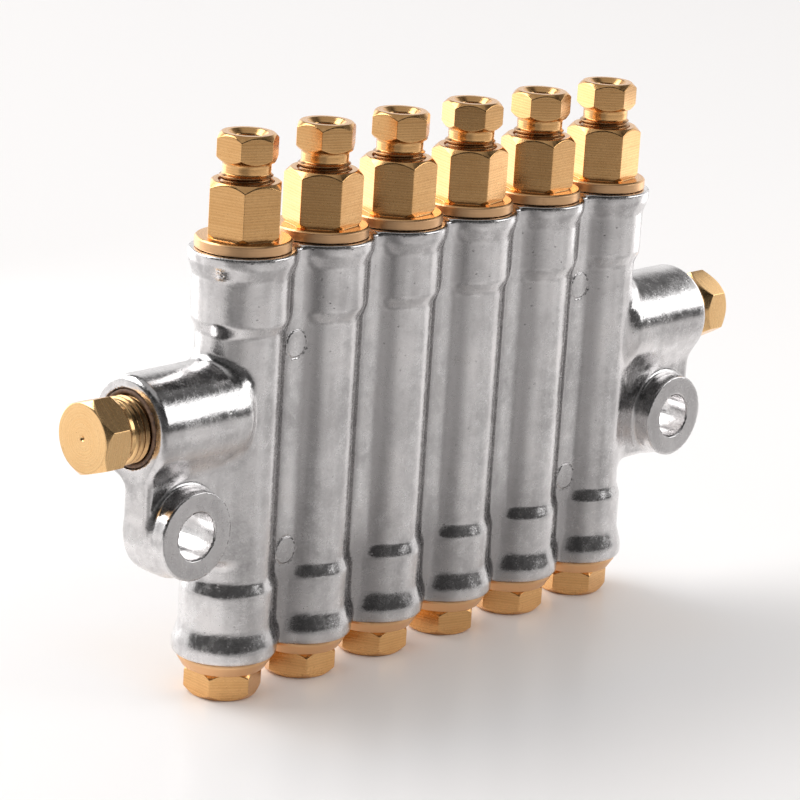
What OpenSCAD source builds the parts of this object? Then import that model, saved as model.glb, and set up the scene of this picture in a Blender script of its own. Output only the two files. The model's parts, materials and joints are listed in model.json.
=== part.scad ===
// Lubricant divider block: a row of metering wells in one die casting,
// each with an outlet fitting above and a screw plug below.
// X runs along the row, the mounting pads face -Y and +Z is up.
// The origin is on the surface that the block stands on, below its middle.

/* [Casting] */
// Number of metering wells in the row
wells = 6; // [2:1:6]
// Distance between the axes of neighbouring wells
pitch = 15.5; // [15:0.1:20]
// Height of the casting without its fittings and plugs
cast_h = 60.3; // [58:0.1:75]
// Outer radius of a well at its waist
waist_r = 6.3; // [5.8:0.05:7]
// Outer radius of the collar around the plug thread
low_collar_r = 6.9; // [6.5:0.05:7.4]
// Outer radius of the collar around the fitting thread
top_collar_r = 7.05; // [6.8:0.05:7.6]
// Outer radius of the rounded foot above the plug
foot_r = 7.7; // [7.2:0.05:8.4]
// Outer radius of the rim under the outlet fitting
rim_r = 7.8; // [7.4:0.05:8.4]
// Height of the rounded foot with its flare
foot_h = 5.2; // [4.5:0.1:6.5]
// Height of the plug collar above the foot, with its shoulder
low_collar_h = 7.3; // [6:0.1:8]
// Height of the fitting collar with its two flares
top_collar_h = 12.2; // [11:0.1:14]
// Thickness of the web between the wells
web_t = 7.6; // [6:0.1:9]
// Radius of the round ejector marks on the outer webs
mark_r = 2; // [1:0.1:2.5]
// Height of an ejector mark above the web
mark_proud = 0.15; // [0.05:0.05:0.4]
// Distance of the upper ejector marks below the casting's top
mark_top = 14.4; // [12:0.1:18]
// Distance of the lower ejector marks above the casting's bottom
mark_low = 14.8; // [10:0.1:18]

/* [Gallery] */
// Distance of the gallery's axis below the casting's top
gallery_drop = 23.2; // [22:0.1:28]
// Radius of the gallery that feeds every well
gallery_r = 2.25; // [1.5:0.05:2.6]
// Outer radius of the round boss at each end
boss_r = 7.6; // [6.8:0.05:7.7]
// Distance from the mounting hole's axis out to the boss face
boss_reach = 6.95; // [5.5:0.05:10]
// Distance from the last well's axis to the inner end of the boss
boss_root = 2.4; // [1:0.1:4]
// Rounding at the inner end of the boss, where it runs into the well
boss_blend = 2; // [0.5:0.1:2.5]
// Rounding at the boss face
boss_round = 1.1; // [0.3:0.1:1.5]
// Depth of the threaded hole in the boss
boss_thread_l = 9; // [6:0.5:11]

/* [Mounting lugs] */
// Distance from the last well's axis to the mounting hole
lug_reach = 13.75; // [12.5:0.05:18]
// Distance of the mounting hole below the gallery's axis
lug_drop = 15; // [14:0.1:17]
// Radius of the lug around its hole
lug_r = 6.9; // [6:0.05:8]
// Distance of the lug's front wall before the row's middle plane
lug_front = 4.7; // [3.5:0.1:5.5]
// Distance of the lug's rear wall behind the row's middle plane
lug_back = 0.6; // [0.2:0.1:3]
// Radius of the raised round pad
pad_r = 6.5; // [5.5:0.05:7.5]
// Size of the bevel at the foot of the pad
pad_bevel = 0.35; // [0.2:0.05:0.4]
// Radius of the mounting hole
hole_r = 3.45; // [2.5:0.05:4]

/* [Outlet fittings] */
// Width across the flats of the fitting's hexagon
fitting_af = 10; // [9:0.1:12]
// Height of the fitting's hexagon
fitting_hex_h = 8.1; // [6.5:0.1:10]
// Radius of the fitting's flange
flange_r = 6.95; // [6:0.05:7.4]
// Thickness of the fitting's flange
flange_t = 1.65; // [1.2:0.05:2.5]
// Length of the fitting's thread in the casting
fitting_thread_l = 10.5; // [8:0.1:11]
// Radius of the outlet passage through the fitting
outlet_r = 1.2; // [0.8:0.05:1.6]

/* [Compression nuts] */
// Width across the flats of the nut's hexagon
nut_af = 8; // [7.5:0.1:10]
// Height of the nut's hexagon
nut_hex_h = 4.1; // [2.5:0.1:5]
// Radius of the neck under the nut's hexagon
neck_r = 3.45; // [3:0.05:3.8]
// Height of the neck
neck_h = 1.7; // [1.5:0.1:4]
// Radius of the nut's thread
nut_thread_r = 3.9; // [3.6:0.05:4.2]
// Length of thread that shows above the fitting
nut_thread_show = 1; // [0.5:0.1:3]
// Length of thread inside the fitting
nut_thread_in = 4.2; // [3:0.1:5]
// Radius of the bore that takes the lubricant tube
tube_bore_r = 2.1; // [1.6:0.05:2.3]
// Length of the sleeve that grips the tube
sleeve_l = 2.4; // [1.5:0.1:3]
// Wall of the sleeve at its middle
sleeve_wall = 0.9; // [0.5:0.05:1.1]

/* [Bottom plugs] */
// Width across the flats of the plug's hexagon
plug_af = 10; // [9:0.1:12]
// Height of the plug's hexagon
plug_hex_h = 4.2; // [3:0.1:6]
// Height of the plug's flared flange
plug_flange_h = 2; // [1:0.1:2.5]
// Radius of the plug's flange where it meets the casting
plug_flange_r = 6.95; // [6:0.05:7.2]
// Length of the plug's thread in the casting
plug_thread_l = 9; // [7:0.1:9.5]
// Depth of the spring's pocket in the plug
pocket_l = 6.5; // [4:0.1:8]

/* [Gallery plugs] */
// Width across the flats of the gallery plug's hexagon
end_af = 10; // [9:0.1:12]
// Length of the gallery plug's hexagon
end_hex_l = 5; // [3.5:0.1:8]
// Length of the collar between the hexagon and the boss face
end_collar_l = 3.2; // [1.5:0.1:5]
// Radius of the collar
end_collar_r = 4.85; // [4:0.05:5.2]
// Length of the gallery plug's thread in the boss
end_thread_l = 7.5; // [5:0.1:8]

/* [Threads] */
// Radius of the threads in the casting
thread_r = 4.9; // [4.6:0.05:5.1]
// Section radius of the sealing rings
ring_r = 0.35; // [0.25:0.05:0.5]

/* [Metering parts] */
// Radius of the bore in each well
bore_r = 4; // [3.6:0.05:4.2]
// Length of the valve cage above the gallery's axis
cage_up = 5; // [4:0.1:6]
// Length of the valve cage below the gallery's axis
cage_down = 4.5; // [3.5:0.1:6]
// Radius of the inlet hole in the cage
inlet_r = 0.9; // [0.6:0.05:1.1]
// Radius of the bypass holes in the cage
bypass_r = 0.45; // [0.3:0.05:0.55]
// Height of the valve seats
seat_h = 0.5; // [0.3:0.1:0.8]
// Height of the umbrella valve
valve_h = 2.9; // [2.2:0.1:3.5]
// Travel of the umbrella valve between its seats
valve_lift = 1; // [0.5:0.1:1.5]
// Length of the metering piston's head
head_l = 7; // [5:0.1:9]
// Length of the stem that guides the spring
stem_l = 8; // [5:0.1:9]
// Radius of the stem
stem_r = 1.6; // [1.2:0.05:1.8]
// Mean radius of the return spring
spring_r = 2.4; // [2.25:0.05:2.5]
// Radius of the spring's wire
wire_r = 0.3; // [0.2:0.05:0.35]
// Turns of the return spring
spring_turns = 9; // [6:1:10]

/* [Clearances] */
// Radial gap between a thread and its hole
thread_gap = 0.06; // [0.02:0.01:0.12]
// Radial gap of the piston in its bore
running_gap = 0.05; // [0.02:0.01:0.1]
// Gap around pressed and sealed pieces
seat_gap = 0.03; // [0.02:0.01:0.06]
// Free gap between pieces that move past each other
free_gap = 0.3; // [0.2:0.05:0.5]

/* [Hidden] */
$fn = 64;
eps = 0.01;
cut = 1;

// Colours of the finished metals and rubber
cast_grey = [0.69, 0.69, 0.70];
brass_gold = [0.80, 0.60, 0.33];
steel_grey = [0.60, 0.61, 0.63];
rubber_black = [0.10, 0.10, 0.11];

// Turn of each hexagon as it was tightened, from the left end of the row
fitting_turn = [45, 12, 7, 13, 5, 11];
nut_turn = [35, 38, 37, 7, 22, 16];
plug_turn = [27, 58, 58, 42, 3, 13];
left_turn = 49;
right_turn = 0;

// Heights of the main seats
z_cast = plug_hex_h + plug_flange_h;
z_top = z_cast + cast_h;
z_gallery = z_top - gallery_drop;
z_lug = z_gallery - lug_drop;
z_hex = z_top + flange_t;
z_socket = z_hex + fitting_hex_h;
z_neck = z_socket + nut_thread_show;
z_nut_hex = z_neck + neck_h;
z_nut_top = z_nut_hex + nut_hex_h;
z_nut_end = z_socket - nut_thread_in;
z_sleeve = z_nut_end - seat_gap - sleeve_l;
z_cage_top = z_gallery + cage_up;
z_cage_low = z_gallery - cage_down;
z_valve = z_cage_top + seat_h + seat_gap;
z_nose = z_valve + valve_h + valve_lift + seat_gap;
z_head_top = z_cage_low - free_gap;
z_head_low = z_head_top - head_l;
z_stem = z_head_low - stem_l;
z_plug_end = z_cast + plug_thread_l;
z_pocket = z_plug_end - pocket_l;

// Places along the row
end_x = pitch * (wells - 1) / 2;
lug_x = end_x + lug_reach;
boss_x = lug_x + boss_reach;

// Bevels on turned edges and at thread ends
edge_bevel = 0.3;
thread_bevel = 0.4;
flange_bevel = 0.25;

// Holes and what runs in them
thread_hole_r = thread_r + thread_gap;
ring_mid_r = thread_r + ring_r + seat_gap;
ring_hole_r = ring_mid_r + ring_r + seat_gap;
ring_hole_l = 2 * ring_r + 2 * seat_gap;
socket_r = nut_thread_r + thread_gap;
cage_r = bore_r - seat_gap;
groove_depth = 0.5;
groove_r = bore_r - groove_depth;
bypass_wall = 0.2;
bypass_ring_r = groove_r - bypass_wall - bypass_r;
seat_wall = 0.7;
seat_r = inlet_r + seat_wall;
piston_r = bore_r - running_gap;
seal_depth = 0.75;
seal_root_r = piston_r - seal_depth;
seal_h = 1.6;
seal_hollow = 0.2;
valve_r = bore_r - free_gap;
sleeve_r = tube_bore_r + sleeve_wall;
pocket_r = spring_r + wire_r + free_gap;

function well_x(i) = (i - 1) * pitch - end_x;
function turn_of(list, i) = list[(i - 1) % len(list)];

// Points of a soft step between two [radius, height] points
function soft_step(a, b, n = 4) = [
  for (k = [0:n])
    let (t = k / n)
    [a[0] + (b[0] - a[0]) * (1 - cos(180 * t)) / 2, a[1] + (b[1] - a[1]) * t]
];

// Points of a quarter round from angle a0 to a1 about a centre
function round_edge(c, r, a0, a1, n = 4) = [
  for (k = [0:n])
    let (a = a0 + (a1 - a0) * k / n)
    [c[0] + r * cos(a), c[1] + r * sin(a)]
];

// Outer form of one well from its foot to its rim, above the casting's bottom
foot_round = 0.8;
foot_flare_z = 0.27 * foot_h;
rim_round = 0.45;
rim_flare_h = 3;
rim_band_h = 0.6;
low_shoulder_h = 2.6;
top_shoulder_h = 2.5;
well_profile = concat(
  [[0, 0]],
  round_edge([foot_r - foot_round, foot_round], foot_round, -90, 0),
  soft_step([foot_r, foot_flare_z], [low_collar_r, foot_h]),
  soft_step([low_collar_r, foot_h + low_collar_h - low_shoulder_h], [waist_r, foot_h + low_collar_h]),
  soft_step([waist_r, cast_h - top_collar_h], [top_collar_r, cast_h - top_collar_h + top_shoulder_h]),
  soft_step([top_collar_r, cast_h - rim_band_h - rim_round - rim_flare_h],
    [rim_r, cast_h - rim_band_h - rim_round]),
  round_edge([rim_r - rim_round, cast_h - rim_round], rim_round, 0, 90),
  [[0, cast_h]]
);

// Solid of revolution about Z from [radius, height] points
module turned(points) {
  rotate_extrude() polygon(points);
}

// Hexagon bar from z = 0, with its corners turned off at one or both ends
module hexagon(af, h, low_face = 0, top_face = 0, bevel = 1) {
  corner = af / 2 / cos(30);
  low_r = low_face == 0 ? corner + cut : low_face;
  top_r = top_face == 0 ? corner + cut : top_face;
  low_z = (corner + cut - low_r) * bevel;
  top_z = h - (corner + cut - top_r) * bevel;
  intersection() {
    cylinder(r = corner, h = h, $fn = 6);
    turned([[0, 0], [low_r, 0], [corner + cut, low_z], [corner + cut, top_z], [top_r, h], [0, h]]);
  }
}

// Ring of round section that lies flat at height z
module seal_ring(mid_r, z) {
  translate([0, 0, z]) rotate_extrude() translate([mid_r, 0]) circle(r = ring_r);
}

// Puts a piece that is made along +Z at one end of the gallery, side -1 or 1
module at_gallery_end(side) {
  translate([side * boss_x, 0, z_gallery]) rotate([0, side * 90, 0]) children();
}

module boss(side) {
  l = boss_x - end_x - boss_root;
  at_gallery_end(side)
    turned(concat(
      [[0, -l]],
      round_edge([boss_r - boss_blend, -l + boss_blend], boss_blend, -90, 0),
      round_edge([boss_r - boss_round, -boss_round], boss_round, 0, 90),
      [[0, 0]]
    ));
}

module lug(side) {
  side_step = 0.3;
  low_step = 0.6;
  set_back = 0.05;
  depth = lug_front + lug_back;
  outer = boss_x - end_x - set_back;
  round_x = outer - lug_r;
  translate([side * end_x, 0, 0]) mirror([side < 0 ? 1 : 0, 0, 0]) {
    translate([0, -lug_front, z_lug]) cube([outer - side_step, depth, lug_drop]);
    translate([0, -lug_front, z_lug - lug_r + low_step]) cube([round_x, depth, lug_r]);
    translate([round_x, lug_back, z_lug]) rotate([90, 0, 0]) cylinder(r = lug_r, h = depth);
    translate([lug_reach, 0, z_lug]) rotate([90, 0, 0])
      turned([
        [0, 0], [pad_r + pad_bevel, 0], [pad_r + pad_bevel, lug_front],
        [pad_r, lug_front + pad_bevel], [pad_r, rim_r], [0, rim_r]
      ]);
  }
}

// Bore, thread holes and ring seats of one well
module well_cuts(i) {
  translate([well_x(i), 0, 0]) {
    translate([0, 0, z_cast - cut]) cylinder(r = bore_r, h = cast_h + 2 * cut);
    translate([0, 0, z_cast - cut]) cylinder(r = thread_hole_r, h = plug_thread_l + seat_gap + cut);
    translate([0, 0, z_cast - cut]) cylinder(r = ring_hole_r, h = ring_hole_l + cut);
    translate([0, 0, z_top - fitting_thread_l - seat_gap])
      cylinder(r = thread_hole_r, h = fitting_thread_l + seat_gap + cut);
    translate([0, 0, z_top - ring_hole_l]) cylinder(r = ring_hole_r, h = ring_hole_l + cut);
  }
}

module casting() {
  color(cast_grey) difference() {
    union() {
      for (i = [1:wells])
        translate([well_x(i), 0, z_cast]) turned(well_profile);
      translate([-end_x, -web_t / 2, z_cast + foot_round])
        cube([2 * end_x, web_t, cast_h - foot_round - rim_round]);
      for (side = [-1, 1]) {
        boss(side);
        lug(side);
        for (z = [z_cast + mark_low, z_top - mark_top])
          translate([side * (end_x - pitch / 2), 0, z]) rotate([90, 0, 0])
            cylinder(r = mark_r, h = web_t / 2 + mark_proud);
      }
    }
    for (i = [1:wells]) well_cuts(i);
    for (side = [-1, 1]) {
      at_gallery_end(side) translate([0, 0, -boss_thread_l])
        cylinder(r = thread_hole_r, h = boss_thread_l + cut);
      at_gallery_end(side) translate([0, 0, -ring_hole_l])
        cylinder(r = ring_hole_r, h = ring_hole_l + cut);
      translate([side * lug_x, lug_back + cut, z_lug]) rotate([90, 0, 0])
        cylinder(r = hole_r, h = lug_back + rim_r + 2 * cut);
    }
    translate([-boss_x, 0, z_gallery]) rotate([0, 90, 0]) cylinder(r = gallery_r, h = 2 * boss_x);
  }
}

module outlet_fitting(i) {
  hex_face_r = fitting_af * 0.48;
  hex_root_r = fitting_af * 0.525;
  tube_seat_l = 1.2;
  seat_cone_z = z_sleeve - edge_bevel - 2 * seat_gap;
  tube_stop_z = seat_cone_z - tube_seat_l;
  color(brass_gold) translate([well_x(i), 0, 0]) difference() {
    union() {
      translate([0, 0, z_hex - eps]) rotate(turn_of(fitting_turn, i))
        hexagon(fitting_af, fitting_hex_h + eps, hex_root_r, hex_face_r);
      turned([
        [0, z_nose], [seat_r, z_nose], [seat_r, z_nose + seat_h],
        [bore_r - thread_gap, z_nose + seat_h], [bore_r - thread_gap, z_top - fitting_thread_l],
        [thread_r, z_top - fitting_thread_l], [thread_r, z_top], [flange_r, z_top],
        [flange_r, z_hex - flange_bevel], [flange_r - flange_bevel, z_hex], [0, z_hex]
      ]);
    }
    turned([
      [0, z_nose - cut], [outlet_r, z_nose - cut], [outlet_r, tube_stop_z],
      [tube_bore_r, tube_stop_z], [tube_bore_r, seat_cone_z],
      [socket_r, seat_cone_z + socket_r - tube_bore_r], [socket_r, z_socket + cut], [0, z_socket + cut]
    ]);
  }
}

module compression_nut(i) {
  mouth_flare = 0.75;
  hex_face_r = nut_af * 0.47;
  hex_root_r = nut_af * 0.49;
  mouth_r = tube_bore_r + mouth_flare;
  color(brass_gold) translate([well_x(i), 0, 0]) difference() {
    union() {
      translate([0, 0, z_nut_hex]) rotate(turn_of(nut_turn, i))
        hexagon(nut_af, nut_hex_h, hex_root_r, hex_face_r);
      turned([
        [0, z_nut_end], [nut_thread_r - thread_bevel, z_nut_end],
        [nut_thread_r, z_nut_end + thread_bevel], [nut_thread_r, z_neck - edge_bevel],
        [neck_r, z_neck], [neck_r, z_nut_hex + eps], [0, z_nut_hex + eps]
      ]);
    }
    turned([
      [0, z_nut_end - cut], [tube_bore_r, z_nut_end - cut], [tube_bore_r, z_nut_top - mouth_flare],
      [mouth_r, z_nut_top], [mouth_r, z_nut_top + cut], [0, z_nut_top + cut]
    ]);
  }
}

module tube_sleeves() {
  bevel = sleeve_wall - edge_bevel;
  color(brass_gold) for (i = [1:wells])
    translate([well_x(i), 0, z_sleeve]) turned([
      [tube_bore_r, 0], [sleeve_r - bevel, 0], [sleeve_r, bevel], [sleeve_r, sleeve_l - bevel],
      [sleeve_r - bevel, sleeve_l], [tube_bore_r, sleeve_l]
    ]);
}

module umbrella_valve(i) {
  brim_h = 1;
  brim_round = 0.3;
  crown_r = seat_r + 0.4;
  crown_h = 0.6;
  color(rubber_black) translate([well_x(i), 0, z_valve])
    turned(concat(
      [[0, 0], [valve_r - brim_round, 0], [valve_r, brim_round], [valve_r, brim_h - brim_round]],
      soft_step([valve_r - brim_round, brim_h], [crown_r, valve_h - crown_h]),
      [[crown_r, valve_h], [0, valve_h]]
    ));
}

module valve_cage(i) {
  groove_h = 2 * (gallery_r + seat_wall / 4);
  feed_r = 0.8 * inlet_r;
  color(brass_gold) translate([well_x(i), 0, z_gallery]) difference() {
    turned([
      [0, -cage_down], [cage_r, -cage_down], [cage_r, -groove_h / 2], [groove_r, -groove_h / 2],
      [groove_r, groove_h / 2], [cage_r, groove_h / 2], [cage_r, cage_up], [seat_r, cage_up],
      [seat_r, cage_up + seat_h], [0, cage_up + seat_h]
    ]);
    translate([0, 0, -inlet_r]) cylinder(r = inlet_r, h = cage_up + seat_h + inlet_r + cut);
    for (a = [0, 90]) rotate([90, 0, a])
      cylinder(r = feed_r, h = 2 * (bore_r + cut), center = true);
    for (a = [45:90:315]) rotate(a) translate([bypass_ring_r, 0, -cage_down - cut])
      cylinder(r = bypass_r, h = cage_down + cage_up + 2 * cut);
  }
}

module metering_piston(i) {
  mid = (z_head_top + z_head_low) / 2;
  half = seal_h / 2 + seat_gap;
  color(steel_grey) translate([well_x(i), 0, 0]) turned([
    [0, z_stem], [stem_r - edge_bevel, z_stem], [stem_r, z_stem + edge_bevel],
    [stem_r, z_head_low], [piston_r - edge_bevel, z_head_low], [piston_r, z_head_low + edge_bevel],
    [piston_r, mid - half], [seal_root_r, mid - half], [seal_root_r, mid + half], [piston_r, mid + half],
    [piston_r, z_head_top - edge_bevel], [piston_r - edge_bevel, z_head_top], [0, z_head_top]
  ]);
}

module piston_seal(i) {
  mid = (z_head_top + z_head_low) / 2;
  color(rubber_black) translate([well_x(i), 0, mid]) turned([
    [seal_root_r + seat_gap, -seal_h / 2], [piston_r, -seal_h / 2],
    [piston_r - seal_hollow, 0], [piston_r, seal_h / 2], [seal_root_r + seat_gap, seal_h / 2]
  ]);
}

// Closed tube along a helix from the pocket's floor to the piston's head
module return_spring(i) {
  sides = 6;
  steps = 14;
  z_low = z_pocket + wire_r + seat_gap;
  rise = z_head_low - wire_r - seat_gap - z_low;
  rings = spring_turns * steps;
  lead = atan(rise / (2 * PI * spring_r * spring_turns));
  points = [
    for (k = [0:rings], j = [0:sides - 1])
      let (a = 360 * k / steps, b = 360 * j / sides, out = wire_r * cos(b), up = wire_r * sin(b))
      [
        (spring_r + out) * cos(a) + up * sin(lead) * sin(a),
        (spring_r + out) * sin(a) - up * sin(lead) * cos(a),
        z_low + rise * k / rings + up * cos(lead)
      ]
  ];
  walls = [
    for (k = [0:rings - 1], j = [0:sides - 1])
      let (n = (j + 1) % sides, a = k * sides)
      [a + j, a + sides + j, a + sides + n, a + n]
  ];
  low_end = [for (j = [0:sides - 1]) j];
  top_end = [for (j = [sides - 1:-1:0]) rings * sides + j];
  color(steel_grey) translate([well_x(i), 0, 0])
    polyhedron(points, concat(walls, [low_end, top_end]), convexity = 10);
}

module bottom_plug(i) {
  hex_face_r = plug_af * 0.48;
  hex_root_r = plug_af * 0.505;
  flange_low_r = plug_flange_r - 0.95;
  flange_edge_h = 0.5;
  color(brass_gold) translate([well_x(i), 0, 0]) difference() {
    union() {
      rotate(turn_of(plug_turn, i)) hexagon(plug_af, plug_hex_h + eps, hex_face_r, hex_root_r);
      turned([
        [0, plug_hex_h], [flange_low_r, plug_hex_h], [plug_flange_r, z_cast - flange_edge_h],
        [plug_flange_r, z_cast], [thread_r, z_cast], [thread_r, z_plug_end], [0, z_plug_end]
      ]);
    }
    translate([0, 0, z_pocket]) cylinder(r = pocket_r, h = pocket_l + cut);
  }
}

// Screw plug along +Z, with its thread below z = 0 and a centre mark in its face
module gallery_plug(turn) {
  dimple_r = 0.35;
  hex_face_r = end_af * 0.49;
  hex_root_r = end_af * 0.46;
  end_l = end_collar_l + end_hex_l;
  color(brass_gold) difference() {
    union() {
      translate([0, 0, end_collar_l - eps]) rotate(turn)
        hexagon(end_af, end_hex_l + eps, hex_root_r, hex_face_r);
      turned([
        [0, -end_thread_l], [thread_r - thread_bevel, -end_thread_l],
        [thread_r, -end_thread_l + thread_bevel], [thread_r, 0], [end_collar_r, edge_bevel],
        [end_collar_r, end_collar_l], [0, end_collar_l]
      ]);
    }
    translate([0, 0, end_l - dimple_r])
      turned([[0, 0], [dimple_r + cut, dimple_r + cut], [0, dimple_r + cut]]);
  }
}

module left_gallery_plug() {
  at_gallery_end(-1) gallery_plug(left_turn);
}

module right_gallery_plug() {
  at_gallery_end(1) gallery_plug(right_turn);
}

module outlet_o_rings() {
  color(rubber_black) for (i = [1:wells])
    translate([well_x(i), 0, 0]) seal_ring(ring_mid_r, z_top - ring_hole_l / 2);
}

module plug_o_rings() {
  color(rubber_black) for (i = [1:wells])
    translate([well_x(i), 0, 0]) seal_ring(ring_mid_r, z_cast + ring_hole_l / 2);
}

module gallery_o_rings() {
  color(rubber_black) for (side = [-1, 1])
    at_gallery_end(side) seal_ring(ring_mid_r, -ring_hole_l / 2);
}

casting();
left_gallery_plug();
right_gallery_plug();
tube_sleeves();
outlet_o_rings();
plug_o_rings();
gallery_o_rings();
for (i = [1:wells]) {
  outlet_fitting(i);
  compression_nut(i);
  umbrella_valve(i);
  valve_cage(i);
  metering_piston(i);
  piston_seal(i);
  return_spring(i);
  bottom_plug(i);
}
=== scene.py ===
"""Looks of a die-cast lubricant divider block with turned brass fittings."""

import json
import logging
import math
from dataclasses import dataclass, field
from enum import Enum
from typing import Any, ClassVar, Dict, List, Optional, Sequence, Tuple, Union

import bpy
import numpy as np
from mathutils import Matrix, Vector


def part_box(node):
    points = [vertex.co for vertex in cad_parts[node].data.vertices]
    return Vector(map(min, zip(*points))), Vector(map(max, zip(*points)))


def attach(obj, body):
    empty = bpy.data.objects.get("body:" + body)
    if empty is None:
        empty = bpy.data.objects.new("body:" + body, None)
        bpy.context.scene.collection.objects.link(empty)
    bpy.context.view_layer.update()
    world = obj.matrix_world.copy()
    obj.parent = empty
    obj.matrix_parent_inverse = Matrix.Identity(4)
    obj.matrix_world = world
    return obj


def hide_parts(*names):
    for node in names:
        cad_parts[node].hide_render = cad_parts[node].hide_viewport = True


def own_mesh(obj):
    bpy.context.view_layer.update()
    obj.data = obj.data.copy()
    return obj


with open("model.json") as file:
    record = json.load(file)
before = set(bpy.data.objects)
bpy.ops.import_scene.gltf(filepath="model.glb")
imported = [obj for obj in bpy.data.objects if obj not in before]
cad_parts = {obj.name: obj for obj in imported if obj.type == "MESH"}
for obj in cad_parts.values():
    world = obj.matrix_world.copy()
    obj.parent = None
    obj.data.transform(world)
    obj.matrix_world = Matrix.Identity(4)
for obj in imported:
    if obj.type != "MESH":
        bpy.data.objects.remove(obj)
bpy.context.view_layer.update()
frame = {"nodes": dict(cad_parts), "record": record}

log = logging.getLogger("divider_block")

MM = 0.001
BLOCK = "block"
Array = np.ndarray
Number = Union[float, Array]
Band = Tuple[float, float]
Triple = Tuple[float, float, float]
ONES: Triple = (1.0, 1.0, 1.0)
BLACK: Triple = (0.0, 0.0, 0.0)
METAL = 1.0


class Slot(Enum):
    """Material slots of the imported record."""

    CAST = "cast_metal"
    BRASS = "brass"
    STEEL = "steel"


class Axis(Enum):
    """Direction along which a turned piece is laid."""

    UP = "up"
    LEFT = "left"
    RIGHT = "right"


class Pattern(Enum):
    """Where a machined finish takes its tool marks from."""

    LATHE = "lathe"
    OBJECT = "object"


def well_nodes(stem: str) -> List[str]:
    """Names of the numbered nodes with this stem, in row order.

    Args:
        stem: Node name without its number.

    Returns:
        The node names that the frame has.
    """
    found = [name for name in frame["nodes"] if name.rsplit("_", 1)[0] == stem]
    return sorted(found, key=lambda name: int(name.rsplit("_", 1)[1]))


def node_box(name: str) -> Tuple[Array, Array]:
    """Corners of a CAD node in millimetres.

    Args:
        name: Node name.

    Returns:
        Lowest and highest corner.
    """
    low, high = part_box(name)
    return np.array(low) / MM, np.array(high) / MM


def smooth_step(low: float, high: float, value: Array) -> Array:
    """Cubic ease from 0 at low to 1 at high.

    Args:
        low: Value that gives 0.
        high: Value that gives 1.
        value: Values to ease.

    Returns:
        Eased values.
    """
    t = np.clip((value - low) / (high - low), 0.0, 1.0)
    return t * t * (3.0 - 2.0 * t)


def blend_min(a: Array, b: Array, reach: float) -> Array:
    """Least of two distances, with a fillet where they are within reach of each other.

    Args:
        a: First distance field.
        b: Second distance field.
        reach: Width over which the two blend.

    Returns:
        The joined field.
    """
    near = np.maximum(reach - np.abs(a - b), 0.0) / reach
    return np.minimum(a, b) - near * near * reach * 0.25


def blend_max(a: Array, b: Array, reach: float) -> Array:
    """Greatest of two distances with an eased edge, the mirror of blend_min."""
    return -blend_min(-a, -b, reach)


class Sock:
    """A shader value that builds Math nodes when it is used in an expression."""

    def __init__(self, graph: "Graph", socket: Any) -> None:
        """Keeps the graph and the output socket."""
        self.graph = graph
        self.socket = socket

    def _math(self, operation: str, *values: Any) -> "Sock":
        """Adds one Math node."""
        return self.graph.value("ShaderNodeMath", {"operation": operation}, dict(enumerate(values)))

    def __add__(self, other: Any) -> "Sock":
        """Sum."""
        return self._math("ADD", self, other)

    __radd__ = __add__

    def __mul__(self, other: Any) -> "Sock":
        """Product."""
        return self._math("MULTIPLY", self, other)

    __rmul__ = __mul__

    def __sub__(self, other: Any) -> "Sock":
        """Difference."""
        return self._math("SUBTRACT", self, other)

    def __rsub__(self, other: Any) -> "Sock":
        """Difference with the value on the right."""
        return self._math("SUBTRACT", other, self)

    def sine(self) -> "Sock":
        """Sine of the value."""
        return self._math("SINE", self)

    def eased(self, low: float, high: float) -> "Sock":
        """Smooth step from 0 at low to 1 at high.

        Args:
            low: Value that gives 0.
            high: Value that gives 1.

        Returns:
            The eased value.
        """
        settings = {"interpolation_type": "SMOOTHSTEP"}
        return self.graph.value("ShaderNodeMapRange", settings, {0: self, 1: low, 2: high, 3: 0.0, 4: 1.0})


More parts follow.
